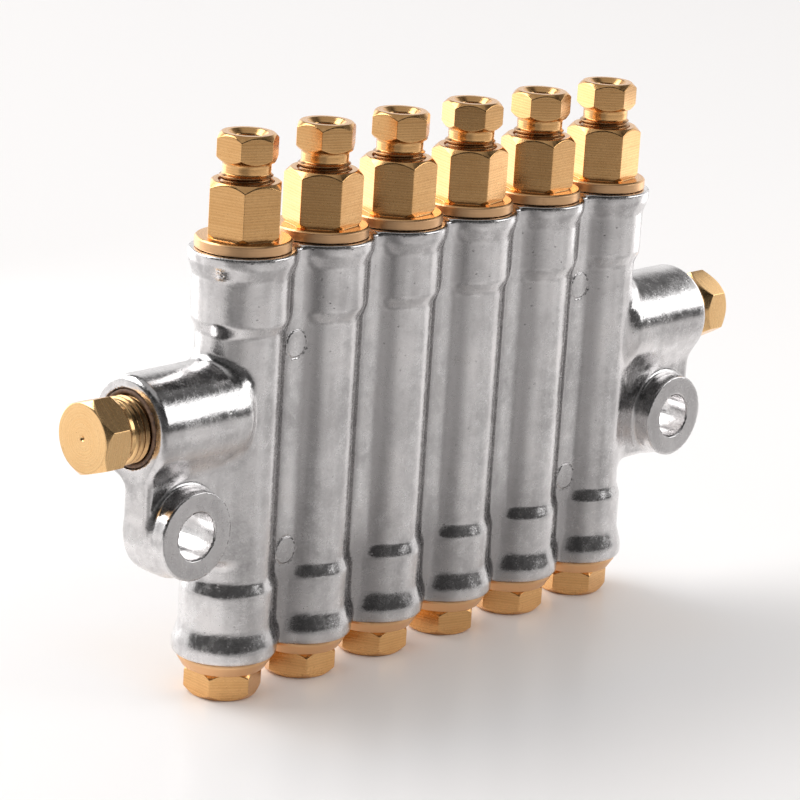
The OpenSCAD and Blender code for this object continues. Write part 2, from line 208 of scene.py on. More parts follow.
class Graph:
    """A node tree that is filled by short calls."""

    def __init__(self, tree: bpy.types.NodeTree) -> None:
        """Empties the tree and keeps it."""
        self.tree = tree
        tree.nodes.clear()

    def node(self, kind: str, settings: Optional[Dict[str, Any]] = None,
             inputs: Optional[Dict[Any, Any]] = None) -> Any:
        """Adds a node, sets it up, then fills its sockets.

        Args:
            kind: Blender's node type.
            settings: Attributes that are set first.
            inputs: Values or links by socket name or number.

        Returns:
            The new node.
        """
        made = self.tree.nodes.new(kind)
        for name, value in (settings or {}).items():
            setattr(made, name, value)
        for key, value in (inputs or {}).items():
            if isinstance(value, Sock):
                self.tree.links.new(value.socket, made.inputs[key])
            else:
                made.inputs[key].default_value = value
        return made

    def value(self, kind: str, settings: Optional[Dict[str, Any]] = None,
              inputs: Optional[Dict[Any, Any]] = None, output: Any = 0) -> Sock:
        """Adds a node and returns one of its outputs.

        Args:
            kind: Blender's node type.
            settings: Attributes that are set first.
            inputs: Values or links by socket name or number.
            output: Name or number of the output.

        Returns:
            The wrapped output.
        """
        return Sock(self, self.node(kind, settings, inputs).outputs[output])

    def object_mm(self) -> Sock:
        """Object coordinates in millimetres."""
        place = self.value("ShaderNodeTexCoord", None, None, "Object")
        return self.stretch(place, (1.0 / MM,) * 3)

    def stretch(self, vector: Sock, scale: Sequence[float]) -> Sock:
        """A vector multiplied by three numbers."""
        return self.value("ShaderNodeVectorMath", {"operation": "MULTIPLY"}, {0: vector, 1: tuple(scale)})

    def parts(self, vector: Sock) -> List[Sock]:
        """The three components of a vector."""
        made = self.node("ShaderNodeSeparateXYZ", None, {0: vector})
        return [Sock(self, out) for out in made.outputs]

    def dot(self, vector: Sock, other: Sequence[float]) -> Sock:
        """Dot product of a vector with three numbers."""
        inputs = {0: vector, 1: tuple(other)}
        return self.value("ShaderNodeVectorMath", {"operation": "DOT_PRODUCT"}, inputs, "Value")

    def cells(self, vector: Sock, scale: float) -> Sock:
        """Distance to the nearest of scattered points."""
        return self.value("ShaderNodeTexVoronoi", None, {"Vector": vector, "Scale": scale}, "Distance")

    def attribute(self, name: str, output: str = "Fac") -> Sock:
        """A value that the mesh carries."""
        return self.value("ShaderNodeAttribute", {"attribute_name": name}, None, output)

    def mix(self, share: Any, a: Any, b: Any) -> Sock:
        """Colour between two others.

        Args:
            share: Share of the second colour.
            a: First colour.
            b: Second colour.

        Returns:
            The mixed colour.
        """
        colours = {"A_Color": a, "B_Color": b, "Factor_Float": share}
        made = self.node("ShaderNodeMix", {"data_type": "RGBA"})
        by_id = {socket.identifier: socket for socket in made.inputs}
        for name, value in colours.items():
            if isinstance(value, Sock):
                self.tree.links.new(value.socket, by_id[name])
            else:
                by_id[name].default_value = (*value, 1.0) if name != "Factor_Float" else value
        return Sock(self, next(out for out in made.outputs if out.identifier == "Result_Color"))

    def bump(self, height: Sock, depth: float) -> Sock:
        """Normal of a height in units of depth metres."""
        return self.value("ShaderNodeBump", None, {"Height": height, "Distance": depth, "Strength": 1.0})

    def surface(self, fixed: Dict[str, Any], linked: Dict[str, Sock]) -> None:
        """Ends the tree in one Principled shader.

        Args:
            fixed: Constant sockets.
            linked: Sockets that vary over the surface.
        """
        shader = self.node("ShaderNodeBsdfPrincipled", None, {**fixed, **linked})
        self.node("ShaderNodeOutputMaterial", None, {"Surface": Sock(self, shader.outputs[0])})

    def coat(self, metallic: float, colour: Sock, rough: Sock, normal: Sock) -> None:
        """Ends the tree in a shader with varying colour, roughness and normal."""
        self.surface({"Metallic": metallic}, {"Base Color": colour, "Roughness": rough, "Normal": normal})


def new_material(name: str) -> Tuple[bpy.types.Material, Graph]:
    """An empty node material.

    Args:
        name: Material name.

    Returns:
        The material and its graph.
    """
    material = bpy.data.materials.new(name)
    material.use_nodes = True
    return material, Graph(material.node_tree)


@dataclass(frozen=True)
class Noise:
    """One fractal noise of a finish: its scale, octaves, the share that each keeps, and a stretch."""

    scale: float
    detail: float
    rough: float
    stretch: Triple = ONES

    def on(self, g: Graph, vector: Sock) -> Sock:
        """Adds the noise to a graph.

        Args:
            g: Graph of the finish.
            vector: Coordinates before the stretch.

        Returns:
            A value about 0.5.
        """
        place = vector if self.stretch == ONES else g.stretch(vector, self.stretch)
        inputs = {"Vector": place, "Scale": self.scale, "Detail": self.detail, "Roughness": self.rough}
        return g.value("ShaderNodeTexNoise", None, inputs)


@dataclass(frozen=True)
class CastFinish:
    """Satin die-cast skin: mottled, faintly drawn along the wells, painted shade beside them and in
    hollows.

    Edges get a painted highlight, and the machined pads a darker grey that is partly painted shade.
    """

    name: str = "cast_skin"
    light: Triple = (0.86, 0.845, 0.845)
    mid: Triple = (0.55, 0.535, 0.535)
    warm: Triple = (0.68, 0.64, 0.625)
    # Colour of the painted shade beside the wells and in hollows, and of the pits.
    dark: Triple = (0.2, 0.19, 0.19)
    # Darker grey of the machined pads, partly their own tone and partly painted shade.
    faced: Triple = (0.4, 0.385, 0.385)
    cloud: Noise = Noise(0.13, 3.0, 0.55)
    mottle: Noise = Noise(0.6, 5.0, 0.65)
    grain: Noise = Noise(2.6, 3.0, 0.65)
    drawn: Noise = Noise(1.0, 2.0, 0.5, (0.75, 0.75, 0.05))
    tone_band: Band = (0.95, 1.6)
    warm_band: Band = (0.5, 0.75)
    warm_share: float = 0.35
    # Painted highlight on convex edges and rims.
    edge_band: Band = (0.15, 0.7)
    edge_share: float = 0.5
    # How far the painted shade beside the wells is spared in the creases.
    clean_band: Band = (0.15, 0.45)
    clean_share: float = 0.95
    # Painted shade in concave corners and creases.
    corner_band: Band = (0.12, 0.75)
    pit_scale: float = 0.5
    pit_size: Band = (0.02, 0.13)
    pit_band: Band = (0.45, 0.7)
    pit_share: float = 0.6
    rough_band: Band = (0.35, 0.68)
    rough_low: float = 0.15
    rough_span: float = 0.17
    smooth_band: Band = (0.05, 0.4)
    relief: float = 0.00005

    def build(self) -> bpy.types.Material:
        """Makes the material.

        Returns:
            The finished material.
        """
        material, g = new_material(self.name)
        place = g.object_mm()
        cloud = self.cloud.on(g, place)
        mottle = self.mottle.on(g, place)
        grain = self.grain.on(g, place)
        drawn = self.drawn.on(g, place)
        pits = 1.0 - g.cells(place, self.pit_scale).eased(*self.pit_size)
        cavity = g.attribute("cavity")
        edge = g.attribute("edge")
        tone = (cloud * 0.9 + mottle * 0.8 + drawn * 0.35 + grain * 0.5).eased(*self.tone_band)
        colour = g.mix(tone, self.mid, self.light)
        colour = g.mix(cloud.eased(*self.warm_band) * self.warm_share, colour, self.warm)
        # Painted highlight along convex edges and rims.
        colour = g.mix(edge.eased(*self.edge_band) * self.edge_share, colour, self.light)
        # Painted shade on the wells' sides towards the web, deeper low down and spared in the creases.
        crease_spared = cavity.eased(*self.clean_band) * self.clean_share
        colour = g.mix(g.attribute("flank") * (0.55 + cloud * 0.6) * (1.0 - crease_spared), colour, self.dark)
        # Painted shade in concave corners and creases, mottled.
        colour = g.mix(cavity.eased(*self.corner_band) * (0.05 + mottle * 0.25), colour, self.dark)
        # Darker grey on the machined pads, partly their own tone and partly painted shade.
        colour = g.mix(g.attribute("faced") * (0.05 + mottle * 0.95), colour, self.faced)
        colour = g.mix(pits * grain.eased(*self.pit_band) * self.pit_share, colour, self.dark)
        rough = self.rough_low + (mottle * 0.6 + grain * 0.4).eased(*self.rough_band) * self.rough_span
        height = mottle * 0.6 + grain * 0.22 + cloud * 0.8 + drawn * 0.25 - pits * 0.4
        height = height * (1.0 - cavity.eased(*self.smooth_band))
        g.coat(METAL, colour, rough, g.bump(height, self.relief))
        return material


@dataclass(frozen=True)
class BrassFinish:
    """Machined brass with tool marks around the axis, slight tarnish, and painted shade on its threads."""

    name: str = "turned_brass"
    pattern: Pattern = Pattern.LATHE
    light: Triple = (0.9, 0.54, 0.24)
    deep: Triple = (0.7, 0.385, 0.15)
    satin: Triple = (0.86, 0.54, 0.31)
    stain: Triple = (0.36, 0.19, 0.07)
    # Colour of the painted shade on the threads.
    grime: Triple = (0.2, 0.1, 0.055)
    fine: Noise = Noise(1.0, 3.0, 0.65, (9.0, 0.35, 0.35))
    coarse: Noise = Noise(1.0, 2.0, 0.5, (2.2, 0.25, 0.25))
    cloud: Noise = Noise(0.35, 3.0, 0.6)
    speck: Noise = Noise(2.4, 3.0, 0.6)
    cuts_mm: float = 15.0
    cuts_wander: float = 9.0
    tone_band: Band = (0.3, 1.05)
    satin_share: float = 0.7
    satin_rough: float = 0.14
    stain_band: Band = (0.36, 0.5)
    stain_share: float = 0.45
    rough_band: Band = (0.3, 0.75)
    rough_low: float = 0.17
    rough_span: float = 0.16
    turning: float = 0.1
    relief: float = 0.000008

    def _marks(self, g: Graph) -> Sock:
        """Coordinates whose first component runs across the tool marks.

        Args:
            g: Graph of the finish.

        Returns:
            The coordinates.
        """
        if self.pattern is Pattern.LATHE:
            return g.attribute("lathe", "Vector")
        x, y, z = g.parts(g.object_mm())
        return g.value("ShaderNodeCombineXYZ", None, {0: z, 1: x * self.turning, 2: y * self.turning})

    def build(self) -> bpy.types.Material:
        """Makes the material.

        Returns:
            The finished material.
        """
        material, g = new_material(self.name)
        marks = self._marks(g)
        place = g.object_mm()
        fine = self.fine.on(g, marks)
        coarse = self.coarse.on(g, marks)
        cloud = self.cloud.on(g, place)
        speck = self.speck.on(g, place)
        cuts = (g.parts(marks)[0] * self.cuts_mm + coarse * self.cuts_wander).sine() * 0.5 + 0.5
        tone = (fine * 0.4 + cuts * 0.25 + coarse * 0.25 + cloud * 0.4).eased(*self.tone_band)
        satin = g.attribute("satin")
        colour = g.mix(tone, self.deep, self.light)
        colour = g.mix(satin * self.satin_share, colour, self.satin)
        colour = g.mix((speck * cloud).eased(*self.stain_band) * self.stain_share, colour, self.stain)
        # Painted shade on the thread bands.
        colour = g.mix(g.attribute("grime") * (0.55 + speck * 0.5), colour, self.grime)
        wear = (fine * 0.6 + speck * 0.4).eased(*self.rough_band)
        rough = self.rough_low + wear * self.rough_span + satin * self.satin_rough
        height = fine * 0.5 + cuts * 0.22 + coarse * 0.2
        g.coat(METAL, colour, rough, g.bump(height, self.relief))
        return material


@dataclass(frozen=True)
class PlainFinish:
    """Two tones mixed by one noise, which also roughens and lifts the skin."""

    name: str
    metallic: float
    light: Triple
    deep: Triple
    grain: Noise
    rough_low: float
    rough_span: float
    relief: float
    tone_band: Band = (0.3, 0.7)

    def build(self) -> bpy.types.Material:
        """Makes the material.

        Returns:
            The finished material.
        """
        material, g = new_material(self.name)
        grain = self.grain.on(g, g.object_mm())
        colour = g.mix(grain.eased(*self.tone_band), self.deep, self.light)
        rough = self.rough_low + grain * self.rough_span
        g.coat(self.metallic, colour, rough, g.bump(grain, self.relief))
        return material


# A paler copy of the turned brass: painted light on the gallery plugs.
LIT_FACED_BRASS = BrassFinish(name="faced_brass", light=(0.95, 0.635, 0.315), deep=(0.87, 0.53, 0.235))
INNER_BRASS = BrassFinish(name="inner_brass", pattern=Pattern.OBJECT)
GROUND_STEEL = PlainFinish(
    name="ground_steel", metallic=METAL, light=(0.66, 0.67, 0.69), deep=(0.45, 0.46, 0.48),
    grain=Noise(1.0, 3.0, 0.6, (0.8, 0.8, 12.0)), rough_low=0.2, rough_span=0.2, relief=0.00001,
)
SEAL_RUBBER = PlainFinish(
    name="seal_rubber", metallic=0.0, light=(0.25, 0.145, 0.09), deep=(0.11, 0.065, 0.042),
    grain=Noise(1.6, 4.0, 0.6), rough_low=0.45, rough_span=0.3, relief=0.00002,
)


@dataclass(frozen=True)
class Finishes:
    """The materials of the whole block."""

    cast: bpy.types.Material
    brass: bpy.types.Material
    faced_brass: bpy.types.Material
    plain_brass: bpy.types.Material
    steel: bpy.types.Material
    rubber: bpy.types.Material

    @classmethod
    def make(cls) -> "Finishes":
        """Builds every finish once."""
        kinds = (CastFinish(), BrassFinish(), LIT_FACED_BRASS, INNER_BRASS, GROUND_STEEL, SEAL_RUBBER)
        return cls(*(kind.build() for kind in kinds))


@dataclass
class Surface:
    """A mesh in millimetres before it goes to Blender."""

    points: Array
    quads: Array
    tris: Array = field(default_factory=lambda: np.zeros((0, 3), int))
    normals: Optional[Array] = None
    attributes: Dict[str, Array] = field(default_factory=dict)

    def area_normals(self) -> Array:
        """Vertex normals as the sum of face normals, each as long as its face's area.

        Returns:
            Unit normals, so that wide flats outweigh narrow bevels.
        """
        total = np.zeros_like(self.points)
        for faces in (self.quads, self.tris):
            if not len(faces):
                continue
            corner = self.points[faces]
            last = corner[:, -1] - corner[:, 1]
            cross = np.cross(corner[:, 2] - corner[:, 0], last)
            for k in range(faces.shape[1]):
                np.add.at(total, faces[:, k], cross)
        length = np.linalg.norm(total, axis=1, keepdims=True)
        return total / np.maximum(length, 1e-12)

    def to_object(self, name: str) -> bpy.types.Object:
        """Writes the mesh and links an object at the origin.

        Args:
            name: Object name.

        Returns:
            The new object.
        """
        mesh = bpy.data.meshes.new(name)
        mesh.vertices.add(len(self.points))
        mesh.vertices.foreach_set("co", (self.points * MM).astype(np.float32).ravel())
        loops = np.concatenate([self.quads.ravel(), self.tris.ravel()]).astype(np.int32)
        sizes = np.concatenate([np.full(len(self.quads), 4), np.full(len(self.tris), 3)])
        starts = np.concatenate([[0], np.cumsum(sizes)[:-1]]).astype(np.int32)
        mesh.loops.add(len(loops))
        mesh.loops.foreach_set("vertex_index", loops)
        mesh.polygons.add(len(sizes))
        mesh.polygons.foreach_set("loop_start", starts)
        mesh.polygons.foreach_set("use_smooth", np.ones(len(sizes), bool))
        mesh.update(calc_edges=True)
        for key, values in self.attributes.items():
            kind, member = ("FLOAT", "value") if values.ndim == 1 else ("FLOAT_VECTOR", "vector")
            layer = mesh.attributes.new(key, kind, "POINT")
            layer.data.foreach_set(member, values.astype(np.float32).ravel())
        normals = self.area_normals() if self.normals is None else self.normals
        mesh.normals_split_custom_set_from_vertices(normals.astype(np.float32).tolist())
        made = bpy.data.objects.new(name, mesh)
        bpy.context.scene.collection.objects.link(made)
        return made


@dataclass(frozen=True)
class Ring:
    """One ring of a turned surface: radius, height, ease of its edge, if it is satin, and how much shade is
    painted on it.
    """

    radius: Number
    height: Number
    ease: float = 0.0
    satin: float = 0.0
    grime: float = 0.0


@dataclass(frozen=True)
class Hexagon:
    """A hexagon bar with a corner at angle 0 and slightly rounded corners."""

    across: float
    corner_round: float = 0.16
    corner_steps: int = 7
    flat_steps: int = 13

    def _corner(self) -> Tuple[float, float]:
        """Where the corner's rounding lies.

        Returns:
            Distance of the rounding's centre, and the half angle that it takes.
        """
        centre = (self.across / 2 - self.corner_round) / math.cos(math.radians(30))
        half = math.atan2(self.corner_round * 0.5, centre + self.corner_round * math.cos(math.radians(30)))
        return centre, half

    def angles(self) -> Array:
        """Column angles of one turn.

        Returns:
            Angles, close together on the corners and even on the flats.
        """
        _, half = self._corner()
        corner = np.linspace(-half, half, self.corner_steps)
        flat = np.linspace(half, math.radians(60) - half, self.flat_steps + 2)[1:-1]
        sector = np.concatenate([corner, flat])
        return (sector[None, :] + np.radians(60.0) * np.arange(6)[:, None]).ravel()

    def radius(self, angle: Array) -> Array:
        """Distance from the axis to the bar's side.

        On a flat it is half the width over the cosine of the angle from the flat's middle, and on
        a corner it is the far crossing of a ray with the corner's small circle.

        Args:
            angle: Column angles from a corner.

        Returns:
            Radius at each angle.
        """
        centre, half = self._corner()
        off = np.mod(angle + np.radians(30), np.radians(60)) - np.radians(30)
        flat = self.across / 2 / np.cos(np.radians(30) - np.abs(off))
        inside = np.maximum(self.corner_round ** 2 - (centre * np.sin(off)) ** 2, 0.0)
        return np.where(np.abs(off) < half, centre * np.cos(off) + np.sqrt(inside), flat)


def eased_rings(rings: Sequence[Ring], columns: int, closed: bool) -> Tuple[Array, Array, Array]:
    """Radius and height grids of a stack of rings, with corners cut by a quadratic curve.

    Each ring with an ease becomes three rings: one before it, one after it and the middle of the
    quadratic curve between them.

    Args:
        rings: The stack from first to last.
        columns: Number of columns.
        closed: True if the last ring joins the first.

    Returns:
        Radius and height, one row for each ring, and each row's satin and painted shade.
    """
    wide = [[np.broadcast_to(value, columns) for value in (ring.radius, ring.height)] for ring in rings]
    stack = np.array(wide, float)
    rows: List[Array] = []
    coats: List[Tuple[float, float]] = []
    for i, ring in enumerate(rings):
        here = stack[i]
        ends = not closed and i in (0, len(rings) - 1)
        if ring.ease <= 0 or ends:
            rows.append(here)
            coats.append((ring.satin, ring.grime))
            continue
        sides = []
        for other in (stack[i - 1], stack[(i + 1) % len(rings)]):
            step = other - here
            length = np.maximum(np.hypot(step[0], step[1]), 1e-9)
            sides.append(here + step / length * np.minimum(ring.ease, 0.45 * length))
        rows += [sides[0], 0.25 * sides[0] + 0.5 * here + 0.25 * sides[1], sides[1]]
        coats += [(ring.satin, ring.grime)] * 3
    grid = np.array(rows)
    return grid[:, 0], grid[:, 1], np.array(coats)


def turned_surface(rings: Sequence[Ring], angles: Array, turn: float = 0.0, closed: bool = True) -> Surface:
    """Surface swept by a stack of rings: point = (r cos a, r sin a, z) over rows and angles.

    The attribute "lathe" holds height plus mean radius and the cosine and sine of the angle,
    "satin" is 1 on dull bands, and a third attribute is 1 where shade is painted on threads.

    Args:
        rings: Rings from the lowest inside round the outside, so that faces point outwards.
        angles: Column angles.
        turn: Angle added to every column, in degrees.
        closed: True if the last ring joins the first, else both ends are capped.

    Returns:
        The surface about the Z axis.
    """
    radius, height, coats = eased_rings(rings, len(angles), closed)
    turned = angles + math.radians(turn)
    rows, columns = radius.shape
    points = np.stack([radius * np.cos(turned), radius * np.sin(turned), height], axis=-1)
    across = height + radius.mean(1)[:, None]
    lathe = np.stack(np.broadcast_arrays(across, np.cos(turned), np.sin(turned)), axis=-1)
    index = np.arange(rows * columns).reshape(rows, columns)
    lower = index if closed else index[:-1]
    upper = np.roll(index, -1, axis=0) if closed else index[1:]
    quads = np.stack([lower, np.roll(lower, -1, 1), np.roll(upper, -1, 1), upper], axis=-1).reshape(-1, 4)
    points, lathe = points.reshape(-1, 3), lathe.reshape(-1, 3)
    coat = np.repeat(coats, columns, axis=0)
    tris = np.zeros((0, 3), int)
    if not closed:
        centres = np.array([[0, 0, height[0].mean()], [0, 0, height[-1].mean()]])
        marks = np.array([[height[0].mean(), 0, 0], [height[-1].mean(), 0, 0]])
        first, last = index[0], index[-1]
        low, high = np.full(columns, len(points)), np.full(columns, len(points) + 1)
        under = np.stack([np.roll(first, -1), first, low], axis=1)
        over = np.stack([last, np.roll(last, -1), high], axis=1)
        tris = np.concatenate([under, over])
        points, lathe = np.concatenate([points, centres]), np.concatenate([lathe, marks])
        coat = np.concatenate([coat, coats[[0, -1]]])
    attributes = {"lathe": lathe, "satin": coat[:, 0], "grime": coat[:, 1]}
    return Surface(points, quads, tris, attributes=attributes)


def laid(surface: Surface, axis: Axis, place: Sequence[float]) -> Surface:
    """Turns a surface about Z so that its axis points along axis, and moves it.

    Args:
        surface: Surface about the Z axis; it is changed.
        axis: Direction that its +Z takes.
        place: New place of its origin.

    Returns:
        The same surface.
    """
    x, y, z = surface.points.T
    if axis is Axis.LEFT:
        surface.points = np.stack([-z, y, x], axis=1)
    elif axis is Axis.RIGHT:
        surface.points = np.stack([z, y, -x], axis=1)
    surface.points = surface.points + np.asarray(place, float)
    return surface


@dataclass(frozen=True)
class Thread:
    """A fine screw thread that shows between two heights."""

    radius: float
    depth: float
    lead: float
    low: float
    high: float
    rows: int = 36
    # How much shade is painted on the thread.
    grime: float = 0.8

    def rings(self, angles: Array) -> List[Ring]:
        """Rings of the thread.

        The radius falls from the crest by the depth times a rounded triangle wave of
        height / lead - angle / one turn, and runs out at both ends.

        Args:
            angles: Column angles.

        Returns:
            Rings from low to high.
        """
        heights = np.linspace(self.low, self.high, self.rows)
        made = []
        for z in heights:
            phase = np.mod(z / self.lead - angles / (2 * np.pi), 1.0)
            wave = smooth_step(0.08, 0.92, np.abs(2 * phase - 1.0))
            made.append(Ring(self.radius - self.depth * wave, z, grime=self.grime))
        return made


def dressed(surface: Surface, name: str, node: str,
            material: bpy.types.Material) -> bpy.types.Object:
    """Puts a finished surface in the scene in place of a CAD node of the block.

    Args:
        surface: The surface.
        name: Piece name.
        node: CAD node that it stands for.
        material: Its finish.

    Returns:
        The piece.
    """
    piece = surface.to_object(name)
    piece.data.materials.append(material)
    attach(piece, BLOCK)
    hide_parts(node)
    log.info("%s stands for %s: %d faces", name, node, len(piece.data.polygons))
    return piece


@dataclass
class TurnedPiece:
    """A brass piece turned from hexagon bar; each kind gives its own rings."""

    node: str
    turn: float
    axis: Axis = Axis.UP
    hexagon: Hexagon = Hexagon(10.0)
    bored: ClassVar[bool] = True
    fine: ClassVar[float] = 0.06

    @staticmethod
    def cut_back(side: Array, face_r: float) -> Array:
        """How far a 45 degree bevel from a face of radius face_r runs down the hexagon's side."""
        return np.maximum(side - face_r, 0.0)

    def rings(self, foot: float, top: float, side: Array, angles: Array) -> List[Ring]:
        """Rings of the piece, from the lowest inside round the outside.

        Args:
            foot: Lowest height of the node.
            top: Greatest height of the node.
            side: Radius of the hexagon at each column.
            angles: Column angles.

        Returns:
            The rings.
        """
        raise NotImplementedError

    def origin(self, low: Array, high: Array) -> Sequence[float]:
        """Place of the piece's own origin, given the corners of its node."""
        centre = (low + high) / 2
        return (centre[0], centre[1], 0.0)

    def build(self, material: bpy.types.Material) -> bpy.types.Object:
        """Makes the piece where its node is.

        Args:
            material: Brass finish.

        Returns:
            The piece.
        """
        low, high = node_box(self.node)
        angles = self.hexagon.angles()
        rings = self.rings(low[2], high[2], self.hexagon.radius(angles), angles)
        surface = turned_surface(rings, angles, self.turn, self.bored)
        laid(surface, self.axis, self.origin(low, high))
        return dressed(surface, f"{self.node}_turned", self.node, material)


@dataclass
class OutletFitting(TurnedPiece):
    """Outlet fitting: nose and thread in the casting, round flange, hexagon and tube socket."""

    flange_r: float = 6.95
    flange_t: float = 1.65
    flange_low_bevel: float = 0.15
    flange_top_bevel: float = 0.25
    hex_h: float = 8.1
    hex_face_r: float = 4.8
    root_r: float = 5.25
    root_rise: float = 0.1
    thread_r: float = 4.9
    thread_l: float = 10.5
    nose_r: float = 3.94
    seat_r: float = 1.6
    seat_h: float = 0.5
    outlet_r: float = 1.2
    tube_r: float = 2.1
    socket_r: float = 3.96
    socket_lip: float = 0.3
    seat_cone: float = 6.99
    tube_stop: float = 1.2
    edge: float = 0.12

    def rings(self, foot: float, top: float, side: Array, angles: Array) -> List[Ring]:
        """Rings of the fitting.

        Args:
            foot: Lowest height of the node.
            top: Greatest height of the node.
            side: Radius of the hexagon at each column.
            angles: Column angles, not used here.

        Returns:
            The rings, from the lowest inside round the outside.
        """
        hex_low = top - self.hex_h
        cast_top = hex_low - self.flange_t
        seat = foot + self.seat_h
        cone = top - self.seat_cone
        root = np.minimum(side, self.root_r)
        edge, fine = self.edge, self.fine
        return [
            Ring(self.outlet_r, foot, edge), Ring(self.seat_r, foot, edge), Ring(self.seat_r, seat),
            Ring(self.nose_r, seat, edge), Ring(self.nose_r, cast_top - self.thread_l),
            Ring(self.thread_r, cast_top - self.thread_l, edge), Ring(self.thread_r, cast_top),
            Ring(self.flange_r - self.flange_low_bevel, cast_top, edge),
            Ring(self.flange_r, cast_top + self.flange_low_bevel, fine, satin=1.0),
            Ring(self.flange_r, hex_low - self.flange_top_bevel, 0.05, satin=1.0),
            Ring(self.flange_r - self.flange_top_bevel, hex_low, fine),
            Ring(root + self.root_rise, hex_low, fine),
            Ring(side, hex_low + (side - root) + self.root_rise, 0.08),
            Ring(side, top - self.cut_back(side, self.hex_face_r), 0.12), Ring(self.hex_face_r, top, 0.1),
            Ring(self.socket_r + 0.05, top - 0.02, fine), Ring(self.socket_r, top - self.socket_lip),
            Ring(self.socket_r, cone + self.socket_r - self.tube_r), Ring(self.tube_r, cone),
            Ring(self.tube_r, cone - self.tube_stop), Ring(self.outlet_r, cone - self.tube_stop),
        ]


@dataclass
class CompressionNut(TurnedPiece):
    """Compression nut: threaded shank, neck, hexagon and countersunk tube bore."""

    hexagon: Hexagon = Hexagon(8.0, 0.14)
    thread_r: float = 3.9
    thread_depth: float = 0.42
    thread_show: float = 1.8
    thread_gap: float = 0.15
    shank_bevel: float = 0.5
    lead: float = 1.0
    neck_r: float = 3.45
    neck_h: float = 1.7
    neck_round: float = 0.2
    hex_h: float = 4.1
    hex_low_r: float = 3.92
    hex_top_r: float = 3.76
    bore_r: float = 2.1
    mouth_r: float = 2.85
    mouth_h: float = 0.75
    edge: float = 0.1

    def rings(self, foot: float, top: float, side: Array, angles: Array) -> List[Ring]:
        """Rings of the nut.

        Args:
            foot: Lowest height of the node.
            top: Greatest height of the node.
            side: Radius of the hexagon at each column.
            angles: Column angles.

        Returns:
            The rings, from the lowest inside round the outside.
        """
        hex_low = top - self.hex_h
        neck_low = hex_low - self.neck_h
        thread = Thread(self.thread_r, self.thread_depth, self.lead,
                        neck_low - self.thread_show, neck_low - self.thread_gap)
        edge = self.edge
        return [
            Ring(self.bore_r, foot), Ring(self.thread_r - self.shank_bevel, foot, edge),
            Ring(self.thread_r - 0.05, foot + self.shank_bevel), *thread.rings(angles),
            Ring(self.neck_r - 0.05, neck_low + 0.1, edge),
            Ring(self.neck_r, neck_low + 0.5, self.neck_round),
            Ring(self.neck_r, hex_low - 0.35, self.neck_round), Ring(self.neck_r + 0.2, hex_low, self.fine),
            Ring(self.hex_low_r, hex_low, edge),
            Ring(side, hex_low + self.cut_back(side, self.hex_low_r), edge),
            Ring(side, top - self.cut_back(side, self.hex_top_r), edge), Ring(self.hex_top_r, top, 0.12),
            Ring(self.mouth_r, top, edge), Ring(self.bore_r, top - self.mouth_h, 0.15),
        ]


@dataclass
class BottomPlug(TurnedPiece):
    """Screw plug under a well: hexagon, flared flange, thread and spring pocket."""

    bored: ClassVar[bool] = False
    hex_h: float = 4.2
    hex_face_r: float = 4.8
    root_r: float = 5.05
    root_gap: float = 0.1
    flange_r: float = 6.95
    flange_low_r: float = 6.0
    flange_h: float = 2.0
    flange_edge: float = 0.5
    thread_r: float = 4.9
    pocket_r: float = 3.0
    pocket_l: float = 6.5
    middle_r: float = 0.6
    edge: float = 0.12

    def rings(self, foot: float, top: float, side: Array, angles: Array) -> List[Ring]:
        """Rings of the plug.

        Args:
            foot: Lowest height of the node.
            top: Greatest height of the node.
            side: Radius of the hexagon at each column.
            angles: Column angles, not used here.

        Returns:
            The rings, from the lowest inside round the outside.
        """
        hex_top = foot + self.hex_h
        cast_low = hex_top + self.flange_h
        edge, pocket = self.edge, top - self.pocket_l
        return [
            Ring(self.middle_r, foot), Ring(self.hex_face_r, foot, 0.2),
            Ring(side, foot + self.cut_back(side, self.hex_face_r), edge),
            Ring(side, hex_top - self.root_gap - self.cut_back(side, self.root_r), 0.1),
            Ring(self.root_r, hex_top - 0.05), Ring(self.root_r + 0.3, hex_top),
            Ring(self.flange_low_r, hex_top, edge, satin=1.0),
            Ring(self.flange_r, cast_low - self.flange_edge, edge, satin=1.0),
            Ring(self.flange_r, cast_low - 0.08, self.fine, satin=1.0), Ring(self.flange_r - 0.1, cast_low),
            Ring(self.thread_r, cast_low), Ring(self.thread_r, top, edge), Ring(self.pocket_r, top, edge),
            Ring(self.pocket_r, pocket), Ring(self.middle_r, pocket),
        ]


